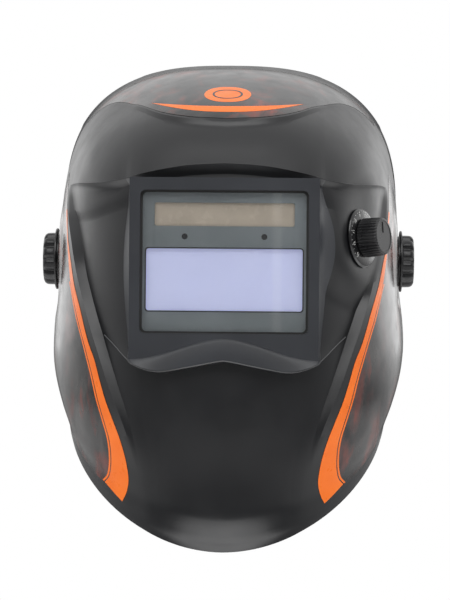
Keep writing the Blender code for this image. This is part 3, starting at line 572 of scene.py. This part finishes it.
def frame_points(column, row, inner):
    """The window frame's flat front and the window in it, with rounded corners."""
    inset = STEP_WALL if inner else 0.0
    half = FRAME_HALF_WIDTH - inset
    x = np.interp(column, (0, 1, 2), (0, WINDOW_HALF_WIDTH, half))
    low = frame_bottom(x * FRAME_HALF_WIDTH / half) + (0.6 if inner else 0.0)
    z = np.where(row < 8, np.interp(row, (6, 7, 8), (FRAME_TOP_Z - inset, WINDOW_TOP_Z, WINDOW_BOTTOM_Z)),
                 WINDOW_BOTTOM_Z + (low - WINDOW_BOTTOM_Z) * unit(row - 8))
    # Corners: a square corner zone is pulled onto an arc at the window and fades out at the rim.
    middle = (WINDOW_TOP_Z + WINDOW_BOTTOM_Z) / 2
    ring = np.maximum(unit(column - 1), np.maximum(unit(7 - row), unit(row - 8)))
    half_z = (WINDOW_TOP_Z - WINDOW_BOTTOM_Z) / 2 + ring * 5.0
    half_x = WINDOW_HALF_WIDTH + ring * (half - WINDOW_HALF_WIDTH)
    radius = WINDOW_CORNER * (1 - ring) + 0.01
    over_x = np.abs(x) - (half_x - radius)
    over_z = np.abs(z - middle) - (half_z - radius)
    corner = (over_x > 0) & (over_z > 0) & (ring < 0.999)
    scale = np.maximum(over_x, over_z) / (np.hypot(over_x, over_z) + 1e-9)
    x = np.where(corner, (half_x - radius) + over_x * scale, x)
    z = np.where(corner, middle + np.sign(z - middle) * ((half_z - radius) + over_z * scale), z)
    y = np.full(column.shape, FRAME_FRONT_Y + (WALL if inner else 0.0))
    return np.stack((x, y, z), axis=-1)


def surface(around, down, column, row, inner=False):
    """Shell surface; the two pairs of arguments say the same place twice."""
    depth = WALL if inner else 0.0
    height = relief(column, row) - depth
    points = base_point(around, down) + height[..., None] * base_normal(around, down)
    if inner:
        lift = np.interp(row, np.arange(14), (0, 0, 0, 1, 1, -1, 0, 0, 0, 0, 1, 1, 0, 0))
        points[..., 2] += STEP_WALL * lift * (1 - smooth(column - 3.0))
        by_step = np.interp(column, (3, 4, 5, 6), (0, 1, 1, 0)) * smooth(row - 4) * step_share(row)
        points[..., 0] += CHEEK_SHIFT * by_step
        by_frame = unit(1 - np.abs(column - 3)) * unit(row - 4.5) * unit(9.8 - row)
        points[..., 0] -= STEP_WALL * by_frame
    share = np.minimum(unit(3 - column), unit(row - 5) * unit(10 - row))
    points = points + (frame_points(column, row, inner) - points) * share[..., None]
    level = -depth if inner else -PIVOT_BOSS_HEIGHT
    return flatten(points, (PIVOT_SEAT_X, 0, 0), (1, 0, 0), level, 22.5, 36.0)


def press_dial_seat(points, level):
    """The flat seat of the shade dial, only on the +X side."""
    return flatten(points, SHADE_SEAT, SHADE_AXIS, level, SEAT_FLAT, SEAT_BLEND)


def grid_place(column, row):
    """Around and down of the places on the grid."""
    around = np.full(column.shape, 0.3)
    down = np.full(column.shape, 0.5)
    for _ in range(16):
        down = between(row_lines(around), row)
        around = between(column_lines(down), column)
    return around, down


def surface_at(around, down, side, lift=0.0):
    """Shell points anywhere, by how far round and down, lifted along the normal; side is 1 or -1."""
    around = np.asarray(around, float)
    down = np.asarray(down, float)
    points = surface(around, down, place_in(column_lines(down), around), place_in(row_lines(around), down))
    points = points + lift * base_normal(around, down)
    if side > 0:
        points = press_dial_seat(points, lift)
    return points * np.array((side, 1, 1))


# --- mesh helpers ---
def in_metres(point):
    """A millimetre point in metres."""
    return tuple(float(part) * MM for part in point)


def clean(mesh, gap, sharp):
    """Join doubled points, turn the faces outwards and shade smooth up to an angle."""
    shaped = bmesh.new()
    shaped.from_mesh(mesh)
    bmesh.ops.remove_doubles(shaped, verts=shaped.verts, dist=gap)
    bmesh.ops.recalc_face_normals(shaped, faces=shaped.faces)
    shaped.to_mesh(mesh)
    shaped.free()
    mesh.shade_smooth()
    mesh.set_sharp_from_angle(angle=math.radians(sharp))


def dress(name, mesh, look, body):
    """Make an object of a mesh, give it its material and let it ride on a body."""
    mesh.materials.clear()
    mesh.materials.append(look)
    made = add_object(name, mesh)
    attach(made, body)
    return made


def add_piece(name, vertices, faces, look, body, sharp):
    """Make a piece from millimetre points and faces."""
    mesh = bpy.data.meshes.new(name)
    mesh.from_pydata([in_metres(vertex) for vertex in vertices], [], faces)
    clean(mesh, 0.000004, sharp)
    return dress(name, mesh, look, body)


def add_spline(curve, points, closed):
    """Add a straight-sided spline through millimetre points."""
    spline = curve.splines.new("POLY")
    spline.points.add(len(points) - 1)
    for point, place in zip(spline.points, points):
        point.co = (*in_metres(place), 1)
    spline.use_cyclic_u = closed


def mesh_of(curve):
    """Turn a curve or a text into a mesh."""
    path = add_object(curve.name, curve)
    mesh = bpy.data.meshes.new_from_object(path)
    bpy.data.objects.remove(path)
    return mesh


def line(name, points, radius, look, body):
    """A thin round line through points."""
    curve = bpy.data.curves.new(name, "CURVE")
    curve.dimensions = "3D"
    curve.bevel_depth = radius * MM
    curve.bevel_resolution = 2
    curve.use_fill_caps = True
    add_spline(curve, points, False)
    mesh = mesh_of(curve)
    mesh.shade_smooth()
    dress(name, mesh, look, body)


def bevel(piece, width, angle):
    """Round the edges that are sharper than the angle, width in millimetres."""
    modifier = piece.modifiers.new("rounded edges", "BEVEL")
    modifier.width = width * MM
    modifier.segments = 2
    modifier.limit_method = "ANGLE"
    modifier.angle_limit = math.radians(angle)
    modifier.harden_normals = True


def smooth_once(piece):
    """One level of subdivision."""
    modifier = piece.modifiers.new("smooth", "SUBSURF")
    modifier.levels = 1
    modifier.render_levels = 1


# --- shell ---
def stops(steps):
    """Places of the grid lines: each span between key lines split into its steps."""
    inside = [span + step / count for span, count in enumerate(steps) for step in range(count)]
    return np.array(inside + [len(steps)], float)


def crowd(places, span, both=False):
    """Move a span's grid lines closer to its end, or to both its ends."""
    part = places - span
    held = unit(part)
    moved = 1 - (1 - held) ** CROWDING
    if both:
        early = 0.5 * (2 * held) ** CROWDING
        late = 1 - 0.5 * (2 * (1 - held)) ** CROWDING
        moved = np.where(part < 0.5, early, late)
    return np.where((part > 0) & (part < 1), span + moved, places)


def build_shell():
    """Fine shell: outer and inner grids, joined round the rim and round the window."""
    columns = crowd(stops(COLUMN_STEPS), 0)
    rows = crowd(stops(ROW_STEPS), 7, both=True)
    column_grid, row_grid = np.meshgrid(columns, rows, indexing="ij")
    around, down = grid_place(column_grid, row_grid)
    last = len(columns) - 1
    low = len(rows) - 1
    side = int(np.searchsorted(columns, 1.0))
    top, bottom = (int(np.searchsorted(rows, key)) for key in (7.0, 8.0))
    vertices = []
    layers = []
    for inner in (False, True):
        plain = surface(around, down, column_grid, row_grid, inner)
        half = press_dial_seat(plain, -WALL if inner else 0.0)
        layer = {}
        for place in range(-last, last + 1):
            for r in range(len(rows)):
                x, y, z = (plain if place < 0 else half)[abs(place), r]
                layer[place, r] = len(vertices)
                vertices.append((x if place >= 0 else -x, y, z))
        layers.append(layer)
    outer, inside = layers
    faces = []
    painted_light_slot = {}
    for place in range(-last, last):
        for r in range(low):
            if -side <= place < side and top <= r < bottom:
                continue
            # Painted light: faces of the window frame take the lighter frame copy (slot 1) and faces of the
            # brow groove the lighter groove copy (slot 2), all on one black moulding.
            if columns[max(abs(place), abs(place + 1))] <= 3.0:
                painted_light_slot[len(faces)] = 2 * (3.0 <= rows[r] < 5.0) + (5.0 <= rows[r] < 10.0)
            for layer in layers:
                corners = ((place, r), (place + 1, r), (place + 1, r + 1), (place, r + 1))
                faces.append([layer[corner] for corner in corners])
    rim = [((place, r), (place, r + 1)) for place in (-last, last) for r in range(low)]
    rim += [((place, r), (place + 1, r)) for place in range(-last, last) for r in (0, low)]
    rim += [((place, r), (place + 1, r)) for place in range(-side, side) for r in (top, bottom)]
    rim += [((place, r), (place, r + 1)) for place in (-side, side) for r in range(top, bottom)]
    for first, second in rim:
        faces.append((outer[first], outer[second], inside[second], inside[first]))
    shell = add_piece("shell_moulding", vertices, faces, SHELL_BLACK, "visor", 30.0)
    shell.data.materials.append(FRAME_PAINTED_LIGHT)
    shell.data.materials.append(GROOVE_PAINTED_LIGHT)
    for face, slot in painted_light_slot.items():
        shell.data.polygons[face].material_index = slot
    bevel(shell, 0.55, 26.0)
    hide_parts("shell")


# --- printed films ---
# Boundaries of the orange stripe: how far down and how far round each knot lies.
STRIPE_INNER = (
    (0.411, 0.712), (0.498, 0.685), (0.547, 0.650), (0.596, 0.610), (0.652, 0.537), (0.702, 0.481),
    (0.7235, 0.454), (0.755, 0.431), (0.7865, 0.410), (0.8175, 0.386), (0.8495, 0.3665),
    (0.8835, 0.358), (0.9195, 0.3635), (0.946, 0.3865), (0.974, 0.4215),
)
STRIPE_OUTER = (
    (0.411, 0.725), (0.498, 0.697), (0.547, 0.672), (0.596, 0.640), (0.652, 0.572), (0.702, 0.511),
    (0.7235, 0.491), (0.755, 0.466), (0.790, 0.4485), (0.8235, 0.431), (0.8575, 0.4205),
    (0.8965, 0.4325), (0.930, 0.4595), (0.962, 0.5085),
)
FILM_LIFT = 0.10
INK_LIFT = 0.16
RING_LIFT = 0.22
CREST_REACH = 0.62
CRESCENT_REACH = 0.2335


def patch(name, sides, across, along, place, lift, look):
    """A film on the shell; place(a, l) gives around and down at 0..1 across and along, per side."""
    for side in sides:
        a, l = np.meshgrid(np.linspace(0, 1, across + 1), np.linspace(0, 1, along + 1), indexing="ij")
        around, down = place(a, l)
        points = surface_at(np.abs(around), down, side, lift)
        points[..., 0] *= np.where(around < 0, -1, 1)
        row = along + 1
        corners = [i * row + k for i in range(across) for k in range(along)]
        faces = [(n, n + row, n + row + 1, n + 1) for n in corners]
        label = name + ("_left" if side > 0 else "_right") if len(sides) > 1 else name
        film = add_piece(label, points.reshape(-1, 3), faces, look, "visor", 60.0)
        centre = Vector((0, 0, -0.02))
        if sum(face.normal.dot(face.center - centre) for face in film.data.polygons) < 0:
            film.data.flip_normals()


def curve_at(table, part):
    """Around and down along a boundary whose knots are (down, around), by part of its length."""
    knots = np.array(table)
    reach = np.concatenate(((0,), np.cumsum(np.hypot(*np.diff(knots, axis=0).T))))
    point = through(reach / reach[-1], knots, part)
    return point[..., 1], point[..., 0]


def between_curves(first, second):
    """Place function for the area between two boundaries."""
    def place(a, l):
        around_one, down_one = curve_at(first, l)
        around_two, down_two = curve_at(second, l)
        return around_one + (around_two - around_one) * a, down_one + (down_two - down_one) * a
    return place


def side_film(a, l):
    """From under the stripe to just inside the rim."""
    down = 0.26 + (0.966 - 0.26) * l
    knots = ((0.26, 0.728), *STRIPE_INNER)
    edge = np.interp(down, [k[0] for k in knots], [k[1] for k in knots]) + 0.005
    return edge + (0.968 - edge) * a, down


def crest_film(a, l):
    """From just above the crest to just inside the top rim; around runs over both halves."""
    around = CREST_REACH * (2 * l - 1)
    low = through(ROUND, ROWS["crest"], np.abs(around)) - 0.006
    top = 0.032 + 0.045 * (1 - (around / CREST_REACH) ** 2)
    return around, top + (low - top) * a


def disc_place(inner, outer):
    """Place function for a ring round the middle of the crest film."""
    def place(a, l):
        turn = l * TAU
        share = inner + (outer - inner) * a
        return 0.056 * share * np.cos(turn), 0.2265 + 0.0295 * share * np.sin(turn)
    return place


def crescent(a, l):
    """Thin smile under the disc."""
    around = CRESCENT_REACH * (2 * l - 1)
    fall = (around / CRESCENT_REACH) ** 2
    top = 0.2705 - 0.0350 * fall
    low = 0.2885 - 0.0530 * fall
    return around, top + (low - top) * a


def line_beside(table, gap, width):
    """Place function for a thin line outside a boundary."""
    near, far = (tuple((down, around + shift) for down, around in table) for shift in (gap, gap + width))
    return between_curves(near, far)


def build_films():
    """Smoky films on the crest and side panels, orange stripes, crescent and disc on top of them."""
    both = (1, -1)
    patch("side_film", both, 46, 120, side_film, FILM_LIFT, SMOKY)
    patch("orange_stripe", both, 8, 110, between_curves(STRIPE_INNER, STRIPE_OUTER), INK_LIFT, ORANGE)
    patch("orange_line", both, 2, 110, line_beside(STRIPE_OUTER[3:], 0.0045, 0.0080), INK_LIFT, ORANGE)
    patch("crest_film", (1,), 36, 110, crest_film, FILM_LIFT, SMOKY)
    patch("orange_crescent", (1,), 6, 80, crescent, INK_LIFT, ORANGE)
    patch("orange_disc", (1,), 10, 72, disc_place(0.0, 1.0), INK_LIFT, ORANGE)
    patch("disc_ring", (1,), 2, 72, disc_place(0.50, 0.60), RING_LIFT, KNOB_BLACK)


def edge_bead(name, row, reach, radius, look):
    """A fine raised line along one of the row lines, over both halves of the shell."""
    share = np.linspace(0.0, reach, 60)
    down = through(ROUND, ROW_VALUES[row], share)
    left = surface_at(share, down, 1)
    right = surface_at(share, down, -1)
    line(name, np.concatenate((right[:0:-1], left)), radius, look, "visor")


# --- turned pieces ---
def turned(name, profile, look, centre, axis, body, sides, shape=None, sharp=35.0):
    """Turn (radius, height) points about an axis; shape(point number, angle) scales the radius."""
    rotation = Vector(axis).normalized().to_track_quat("Z", "Y").to_matrix()
    vertices = []
    rings = []
    for number, (radius, height) in enumerate(profile):
        count = sides if radius > 0 else 1
        rings.append(range(len(vertices), len(vertices) + count))
        for side in range(count):
            angle = TAU * side / sides
            reach = radius * (shape(number, angle) if shape else 1.0)
            local = Vector((reach * math.cos(angle), reach * math.sin(angle), height))
            vertices.append(Vector(centre) + rotation @ local)
    pairs = list(zip(rings, rings[1:]))
    if profile[0][0] > 0 and profile[-1][0] > 0:
        pairs.append((rings[-1], rings[0]))
    faces = []
    for pair in pairs:
        # A ring on the axis is a single point, so its face is a triangle.
        first, second = (ring if len(ring) > 1 else [ring[0]] * sides for ring in pair)
        for side in range(sides):
            after = (side + 1) % sides
            faces.append(tuple(dict.fromkeys((first[side], second[side], second[after], first[after]))))
    return add_piece(name, vertices, faces, look, body, sharp)


def lobes(count, depth, points, sharpness=3.0):
    """Shape function for rounded grips with narrow grooves between them."""
    def shape(number, angle):
        if number not in points:
            return 1.0
        groove = (0.5 + 0.5 * math.cos(count * angle)) ** sharpness
        return 1.0 - depth * points[number] * groove
    return shape


def build_tension_knobs():
    """Side knobs: a thin flange and a grip with twelve rounded lobes and a shallow dished end."""
    profile = ((0, 111.6), (6.3, 111.6), (6.3, 103.8), (15.4, 103.8), (15.4, 104.8), (18.2, 104.8),
               (18.7, 105.1), (18.7, 105.8), (18.4, 106.1), (16.4, 106.2), (16.1, 106.6), (16.1, 108.4),
               (16.0, 110.6), (15.7, 111.6), (14.9, 112.6), (13.6, 113.3), (11.2, 113.3), (10.6, 112.8),
               (9.8, 112.5), (0, 112.5))
    grooves = {9: 0.25, 10: 0.9, 11: 1.0, 12: 1.0, 13: 1.0, 14: 0.8, 15: 0.35}
    for side, sign in SIDES:
        name = "tension_knob_" + side
        knob = turned(name + "_moulding", profile, KNOB_BLACK, (0, 0, 0), (sign, 0, 0), side + "_tension",
                      192, lobes(12, 0.105, grooves), 42.0)
        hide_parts(name)


def on_dial(radius, angle, height):
    """A point on the shade dial, in millimetres; the angle runs anticlockwise from its right."""
    return SHADE_SEAT + DIAL_TURN @ Vector((radius * math.cos(angle), radius * math.sin(angle), height))


def dial_block(name, low, high, turn, look, body):
    """A small block on the dial; low and high are its distance out, offset sideways and height."""
    corners = []
    for height in (low[2], high[2]):
        for radius, offset in ((low[0], low[1]), (high[0], low[1]), (high[0], high[1]), (low[0], high[1])):
            corners.append(on_dial(math.hypot(radius, offset), turn + math.atan2(offset, radius), height))
    faces = ((0, 1, 2, 3), (4, 5, 6, 7), (0, 1, 5, 4), (1, 2, 6, 5), (2, 3, 7, 6), (3, 0, 4, 7))
    add_piece(name, corners, faces, look, body, 30.0)


def build_dial_scale():
    """Raised pointer on the knob, and marks and shade numbers on the bezel."""
    upward = math.radians(90)
    start = upward - math.radians(135)
    dial_block("shade_pointer", (2.0, -0.55, 14.85), (8.3, 0.55, 15.3), upward, KNOB_BLACK, "shade_dial")
    for number in range(28):
        near = 15.5 if number % 3 else 15.0
        dial_block("scale_mark_%02d" % number, (near, -0.13, 2.28), (16.0, 0.13, 2.36),
                   start + math.radians(10 * number), DIAL_WHITE, "visor")
    for number, label in enumerate(("9", "10", "11", "12", "13") * 2):
        text = bpy.data.curves.new("figure", "FONT")
        text.body = label
        text.size = 2.6 * MM
        text.align_x = "CENTER"
        text.align_y = "CENTER"
        text.extrude = 0.04 * MM
        mesh = mesh_of(text)
        turn = start + math.radians(30 * number)
        spin = DIAL_TURN @ Matrix.Rotation(turn - upward, 3, "Z")
        mesh.transform(Matrix.Translation(on_dial(13.4, turn, 2.32) * MM) @ spin.to_4x4())
        dress("scale_figure_%02d" % number, mesh, DIAL_WHITE, "visor")


def build_shade_dial():
    """Shade dial: bezel with a scale, ribbed knob with a pointer, both square to the cheek seat."""
    bezel = ((7.2, 0.3), (16.6, 0.3), (17.1, 0.6), (17.2, 1.2), (16.7, 1.9), (15.9, 2.3), (8.4, 2.3),
             (7.9, 2.0), (7.2, 2.0))
    ring = turned("shade_dial_scale", bezel, DIAL_BLACK, SHADE_SEAT, SHADE_AXIS, "visor", 128, None, 30.0)
    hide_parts("shade_dial_bezel")
    ribs = {6: 0.8, 7: 1.0, 8: 1.0, 9: 1.0, 10: 0.5}
    knob = ((0, 12.8), (2.3, 12.8), (2.3, 5.2), (7.2, 5.2), (7.2, 2.8), (10.7, 2.8), (11.3, 3.2), (11.4, 3.8),
            (11.2, 9.0), (11.0, 14.0), (10.7, 14.8), (10.1, 15.2), (9.2, 15.2), (8.9, 14.9), (0, 14.9))
    grip = turned("shade_knob_moulding", knob, KNOB_BLACK, SHADE_SEAT, SHADE_AXIS, "shade_dial", 288,
                  lobes(36, 0.055, ribs, 1.2), 40.0)
    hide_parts("shade_knob")
    build_dial_scale()


def build_ratchet_knob():
    """Ribbed ratchet knob at the back of the head."""
    centre = (0, 0, -42)
    knob = ((0, 114.1), (2.8, 114.1), (2.8, 110.5), (14.2, 110.5), (14.2, 106.9), (16.8, 106.9),
            (17.8, 107.6), (18.0, 108.6), (18.0, 116.6), (17.6, 118.2), (16.6, 119.6), (15.2, 120.4),
            (12.6, 120.5), (12.0, 119.9), (0, 119.9))
    ribs = {6: 0.6, 7: 1.0, 8: 1.0, 9: 0.8, 10: 0.4}
    made = turned("ratchet_knob_moulding", knob, KNOB_BLACK, centre, (0, 1, 0), "ratchet", 216,
                  lobes(18, 0.075, ribs, 2.0), 40.0)
    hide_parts("ratchet_knob")


# --- filter cartridge ---
CASE_FRONT_Y = -125.8
CASE_FACE_BACK_Y = -124.4
CASE_WALL_BACK_Y = -120.6
RIM_BACK_Y = -125.7
CORNER_STEPS = 5
CIRCLE_STEPS = 24
SENSOR_X = 22.5
SENSOR_Z = 11.1


def rounded_outline(half_width, low_z, high_z, radius):
    """Corners of a rounded rectangle about X = 0, anticlockwise."""
    outline = []
    middle = (low_z + high_z) / 2
    half_height = (high_z - low_z) / 2
    for number, (sx, sz) in enumerate(((1, 1), (-1, 1), (-1, -1), (1, -1))):
        for step in range(CORNER_STEPS + 1):
            turn = math.pi / 2 * (number + step / CORNER_STEPS)
            outline.append((sx * (half_width - radius) + radius * math.cos(turn),
                            middle + sz * (half_height - radius) + radius * math.sin(turn)))
    return outline


def circle(x, z, radius):
    """Points of a circle."""
    turns = [TAU * step / CIRCLE_STEPS for step in range(CIRCLE_STEPS)]
    return [(x + radius * math.cos(turn), z + radius * math.sin(turn)) for turn in turns]


def plate(name, outline, openings, near_y, far_y, look):
    """A plate along Y on the visor, with an outline and openings, each a list of (x, z) points."""
    curve = bpy.data.curves.new(name, "CURVE")
    curve.dimensions = "2D"
    curve.fill_mode = "BOTH"
    curve.extrude = (far_y - near_y) / 2 * MM
    for points in (outline, *openings):
        add_spline(curve, [(x, z, 0) for x, z in points], True)
    mesh = mesh_of(curve)
    upright = Matrix.Rotation(math.pi / 2, 4, "X")
    mesh.transform(Matrix.Translation((0, (near_y + far_y) / 2 * MM, 0)) @ upright)
    clean(mesh, 0.000002, 35.0)
    return dress(name, mesh, look, "visor")


def build_cartridge():
    """Front of the filter case with rounded openings, raised rims, and the window's seal, whose wide lip is
    partly painted shadow.
    """
    low, high = node_box("filter_case_front")
    outline = rounded_outline(high[0], low[2], high[2], 2.0)
    view = rounded_outline(44.2, -30.8, 4.3, 1.5)
    solar = rounded_outline(39.5, 17.0, 30.2, 1.2)
    sensors = [circle(sign * SENSOR_X, SENSOR_Z, 1.8) for sign in (-1, 1)]
    face = plate("filter_case_face", outline, (view, solar, *sensors), CASE_FRONT_Y, CASE_FACE_BACK_Y,
                 CASE_GREY)
    bevel(face, 0.15, 50.0)
    inside = rounded_outline(high[0] - 1.5, low[2] + 1.5, high[2] - 1.5, 1.0)
    wall = plate("filter_case_wall", outline, (inside,), CASE_FACE_BACK_Y, CASE_WALL_BACK_Y, CASE_GREY)
    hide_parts("filter_case_front")
    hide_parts("filter_case_front")
    view_rim = rounded_outline(44.9, -31.5, 5.0, 2.0)
    plate("view_rim", view_rim, (view,), CASE_FRONT_Y - 0.15, RIM_BACK_Y, CASE_DARK)
    for side, sign in reversed(SIDES):
        plate("sensor_rim_" + side, circle(sign * SENSOR_X, SENSOR_Z, 2.4),
              (circle(sign * SENSOR_X, SENSOR_Z, 1.7),), CASE_FRONT_Y - 0.2, RIM_BACK_Y, CASE_GREY)
    edge = rounded_outline(WINDOW_HALF_WIDTH + 0.4, WINDOW_BOTTOM_Z - 0.4, WINDOW_TOP_Z + 0.4,
                           WINDOW_CORNER + 0.4)
    # The seal's lip reaching into the window is partly real rubber and partly painted shadow, standing in for
    # the shade along the window's inner edge.
    lip = rounded_outline(WINDOW_HALF_WIDTH - 1.3, WINDOW_BOTTOM_Z + 1.1, WINDOW_TOP_Z - 1.3,
                          WINDOW_CORNER - 0.7)
    plate("window_seal_painted_shadow", edge, (lip,), -128.35, -127.15, RUBBER)


# --- headgear ---
BAND_HALF_WIDTH = 75.0
BAND_FRONT_Y = -85.0
BAND_CENTRE_Y = 8.0
BAND_DROP = 0.42
BAND_POWER = 2 / 2.6
SWEATBAND_INSET = 3.5
SWEATBAND_REACH = math.radians(58)
REAR_Z = -42.0
REAR_PAD_Y = 94.2
CROWN_HALF_WIDTH = 72.7
CROWN_HEIGHT = 104.0
CROWN_POWER = 2 / 2.3
CLOTH = {"vertex_group_mass": "seam", "use_pressure": True, "uniform_pressure_force": 2.5,
         "tension_stiffness": 20.0, "compression_stiffness": 20.0, "bending_stiffness": 0.4, "quality": 6}


def bent(value, power):
    """A power that keeps the sign."""
    return math.copysign(abs(value) ** power, value)


def band_point(turn):
    """Point along the sweatband's middle; turn is 0 at the forehead and a right angle at the side."""
    depth = BAND_CENTRE_Y - BAND_FRONT_Y - SWEATBAND_INSET
    x = (BAND_HALF_WIDTH - SWEATBAND_INSET) * bent(math.sin(turn), BAND_POWER)
    y = BAND_CENTRE_Y - depth * bent(math.cos(turn), BAND_POWER)
    return Vector((x, y, -BAND_DROP * y))


def cushion(name, places, height, thickness, outward, look, cells):
    """A sewn pad: two cloth faces joined at a seam, blown up a little and stopped by its own width.

    places are the points along the pad's middle, outward the directions away from the head there.
    """
    vertices = []
    fronts = []
    backs = []
    for number, (place, away) in enumerate(zip(places, outward)):
        end = min(number, len(places) - 1 - number) / 5.0
        tall = height * math.sqrt(min(1.0, 1 - (1 - min(end, 1.0)) ** 2 * 0.75))
        ring = []
        for side, share, row in ((1, 0.30, range(cells + 1)), (-1, 0.55, range(1, cells))):
            for cell in row:
                part = -1 + 2 * cell / cells
                crown = (1 - part * part) ** 0.5 * min(1.0, end + 0.05)
                depth = side * thickness / 2 * share * crown
                ring.append(len(vertices))
                vertices.append(Vector(place) + Vector((0, 0, tall * part)) + Vector(away) * depth)
        fronts.append(ring[:cells + 1])
        backs.append([ring[0], *ring[cells + 1:], ring[cells]])
    faces = []
    for strip in (fronts, [back[::-1] for back in backs]):
        for one, two in zip(strip, strip[1:]):
            faces += [(one[k], two[k], two[k + 1], one[k + 1]) for k in range(cells)]
    for ring, back in ((fronts[0], backs[0]), (fronts[-1], backs[-1])):
        for k in range(cells):
            faces.append(tuple(dict.fromkeys((ring[k], ring[k + 1], back[k + 1], back[k]))))
    pad = add_piece(name, vertices, faces, look, "headgear", 80.0)
    ends = fronts[0] + fronts[-1] + backs[0] + backs[-1]
    blow_up(pad, ends + [ring[0] for ring in fronts] + [ring[-1] for ring in fronts], thickness * 0.28 * MM)
    smooth_once(pad)
    return pad


def blow_up(pad, seam, limit):
    """Fill a pad with the cloth solver, its seam held, and cap how far its faces may move."""
    scene = bpy.context.scene
    before = [vertex.co.copy() for vertex in pad.data.vertices]
    pad.vertex_groups.new(name="seam").add(sorted(set(seam)), 1.0, "REPLACE")
    cloth = pad.modifiers.new("cloth", "CLOTH")
    for key, value in CLOTH.items():
        setattr(cloth.settings, key, value)
    cloth.settings.effector_weights.gravity = 0.0
    for frame_number in range(1, 13):
        scene.frame_set(frame_number)
    filled = pad.evaluated_get(bpy.context.evaluated_depsgraph_get())
    moved = [vertex.co.copy() for vertex in filled.to_mesh().vertices]
    filled.to_mesh_clear()
    pad.modifiers.remove(cloth)
    scene.frame_set(1)
    for vertex, old, new in zip(pad.data.vertices, before, moved):
        step = new - old
        if step.length > limit:
            step *= limit / step.length
        vertex.co = old + step


def build_sweatband():
    """Towelling sweatband inside the front of the headband, with its two rolled edges."""
    turns = [SWEATBAND_REACH * k / 48 for k in range(-48, 49)]
    places = [band_point(turn) for turn in turns]
    ahead = [band_point(turn + 0.01) - band_point(turn - 0.01) for turn in turns]
    outward = [step.cross(Vector((0, 0, 1))).normalized() for step in ahead]
    pad = cushion("sweatband_pad", places, 15.0, 4.0, outward, TERRY, 14)
    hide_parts("sweatband")
    for label, level in (("upper", 14.3), ("lower", -14.3)):
        line("sweatband_edge_" + label, [place + Vector((0, 0, level)) for place in places[3:-3]], 0.75, KNIT,
             "headgear")


def build_rear_pad():
    """Soft pad in front of the ratchet, with a knitted cover."""
    places = [Vector((x, REAR_PAD_Y, REAR_Z)) for x in np.linspace(-34, 34, 41)]
    pad = cushion("rear_pad_cushion", places, 14.0, 4.6, [Vector((0, 1, 0))] * len(places), KNIT, 16)
    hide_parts("rear_pad")


def build_tails():
    """The band's tails: copies of the CAD rear straps in black nylon, with rounded edges."""
    for side, sign in SIDES:
        name = "rear_strap_" + side
        mesh = NODES[name].data.copy()
        mesh.materials.clear()
        mesh.materials.append(BLACK_NYLON)
        tail = add_object(name + "_bent", mesh)
        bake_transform(tail)
        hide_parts(name)
        bevel(tail, 0.35, 40.0)


def build_crown_pegs():
    """Adjusting holes along the crown straps and the peg that joins them on top."""
    hole = ((0, 0.0), (2.6, 0.0), (2.6, 0.22), (2.1, 0.30), (0, 0.30))
    for number in (-5, -4, -3, -2, -1, 1, 2, 3, 4, 5):
        turn = math.radians(90 + 7.0 * number)
        x = CROWN_HALF_WIDTH * bent(math.cos(turn), CROWN_POWER)
        z = CROWN_HEIGHT * bent(math.sin(turn), CROWN_POWER)
        away = Vector((x / CROWN_HALF_WIDTH ** 2, 0, z / CROWN_HEIGHT ** 2)).normalized()
        place = Vector((x, 2, z)) + away * 0.7
        turned("crown_hole_%02d" % (number + 5), hole, RUBBER, place, away, "headgear", 24)
    peg = ((0, -0.5), (3.6, -0.5), (3.6, 0.6), (3.2, 1.3), (2.2, 1.7), (0, 1.8))
    turned("crown_peg", peg, GREY_NYLON, (0, 2, CROWN_HEIGHT + 0.9), (0, 0, 1), "headgear", 32)


# --- pieces that keep their CAD shape ---
EDGE_RADII = {
    0.8: ("ratchet_housing_inner", "ratchet_housing_outer"),
    0.6: ("headband_front", "side_bracket_left", "side_bracket_right"),
    0.5: ("crown_strap_left", "crown_strap_right", "slide_plate_left", "slide_plate_right"),
    0.4: ("filter_case_back", "filter_retainer", "sensitivity_knob", "delay_knob"),
    0.3: ("stop_washer_left", "stop_washer_right"),
    0.12: ("front_cover_lens",),
}
SLOT_LOOKS = {
    "shell_plastic": SHELL_BLACK, "knob_plastic": KNOB_BLACK, "grey_nylon": GREY_NYLON,
    "case_plastic": CASE_GREY, "zinc_steel": STEEL, "brass": BRASS,
}
NODE_LOOKS = (
    (CLEAR, ("front_cover_lens", "inner_cover_lens")),
    (GLOWING_COATED_GLASS, ("uv_ir_glass", "lcd_cell_outer", "lcd_cell_inner")),
    (RUBBER, ("lens_gasket", "friction_washer_left", "friction_washer_right", "shade_lead")),
    (SENSOR, ("arc_sensor_left", "arc_sensor_right")),
    (SOLAR, ("solar_panel",)),
    (GREEN, ("circuit_board",)),
    (TERRY, ("sweatband",)),
    (KNIT, ("rear_pad",)),
)


def dress_nodes():
    """A material for every CAD node, by its own name or its material slot, and small edge radii."""
    looks = {part["node"]: SLOT_LOOKS.get(part["material_slot"], BLACK_NYLON)
             for part in frame["record"]["subparts"]}
    looks.update((name, look) for look, names in NODE_LOOKS for name in names)
    for name, node in NODES.items():
        node.data.materials.clear()
        node.data.materials.append(looks[name])
    for radius, names in EDGE_RADII.items():
        for name in names:
            bevel(NODES[name], radius, 40.0)


build_camera()
build_studio()
build_shell()
build_films()
# The mouth's edge line wears the lightened groove copy: a painted highlight along the edge.
edge_bead("mouth_edge_line", 10, 0.44, 0.34, GROOVE_PAINTED_LIGHT)
edge_bead("brow_edge_line", 3, 0.60, 0.28, SHELL_BLACK)
build_tension_knobs()
build_shade_dial()
build_ratchet_knob()
build_cartridge()
build_sweatband()
build_rear_pad()
build_tails()
build_crown_pegs()
dress_nodes()
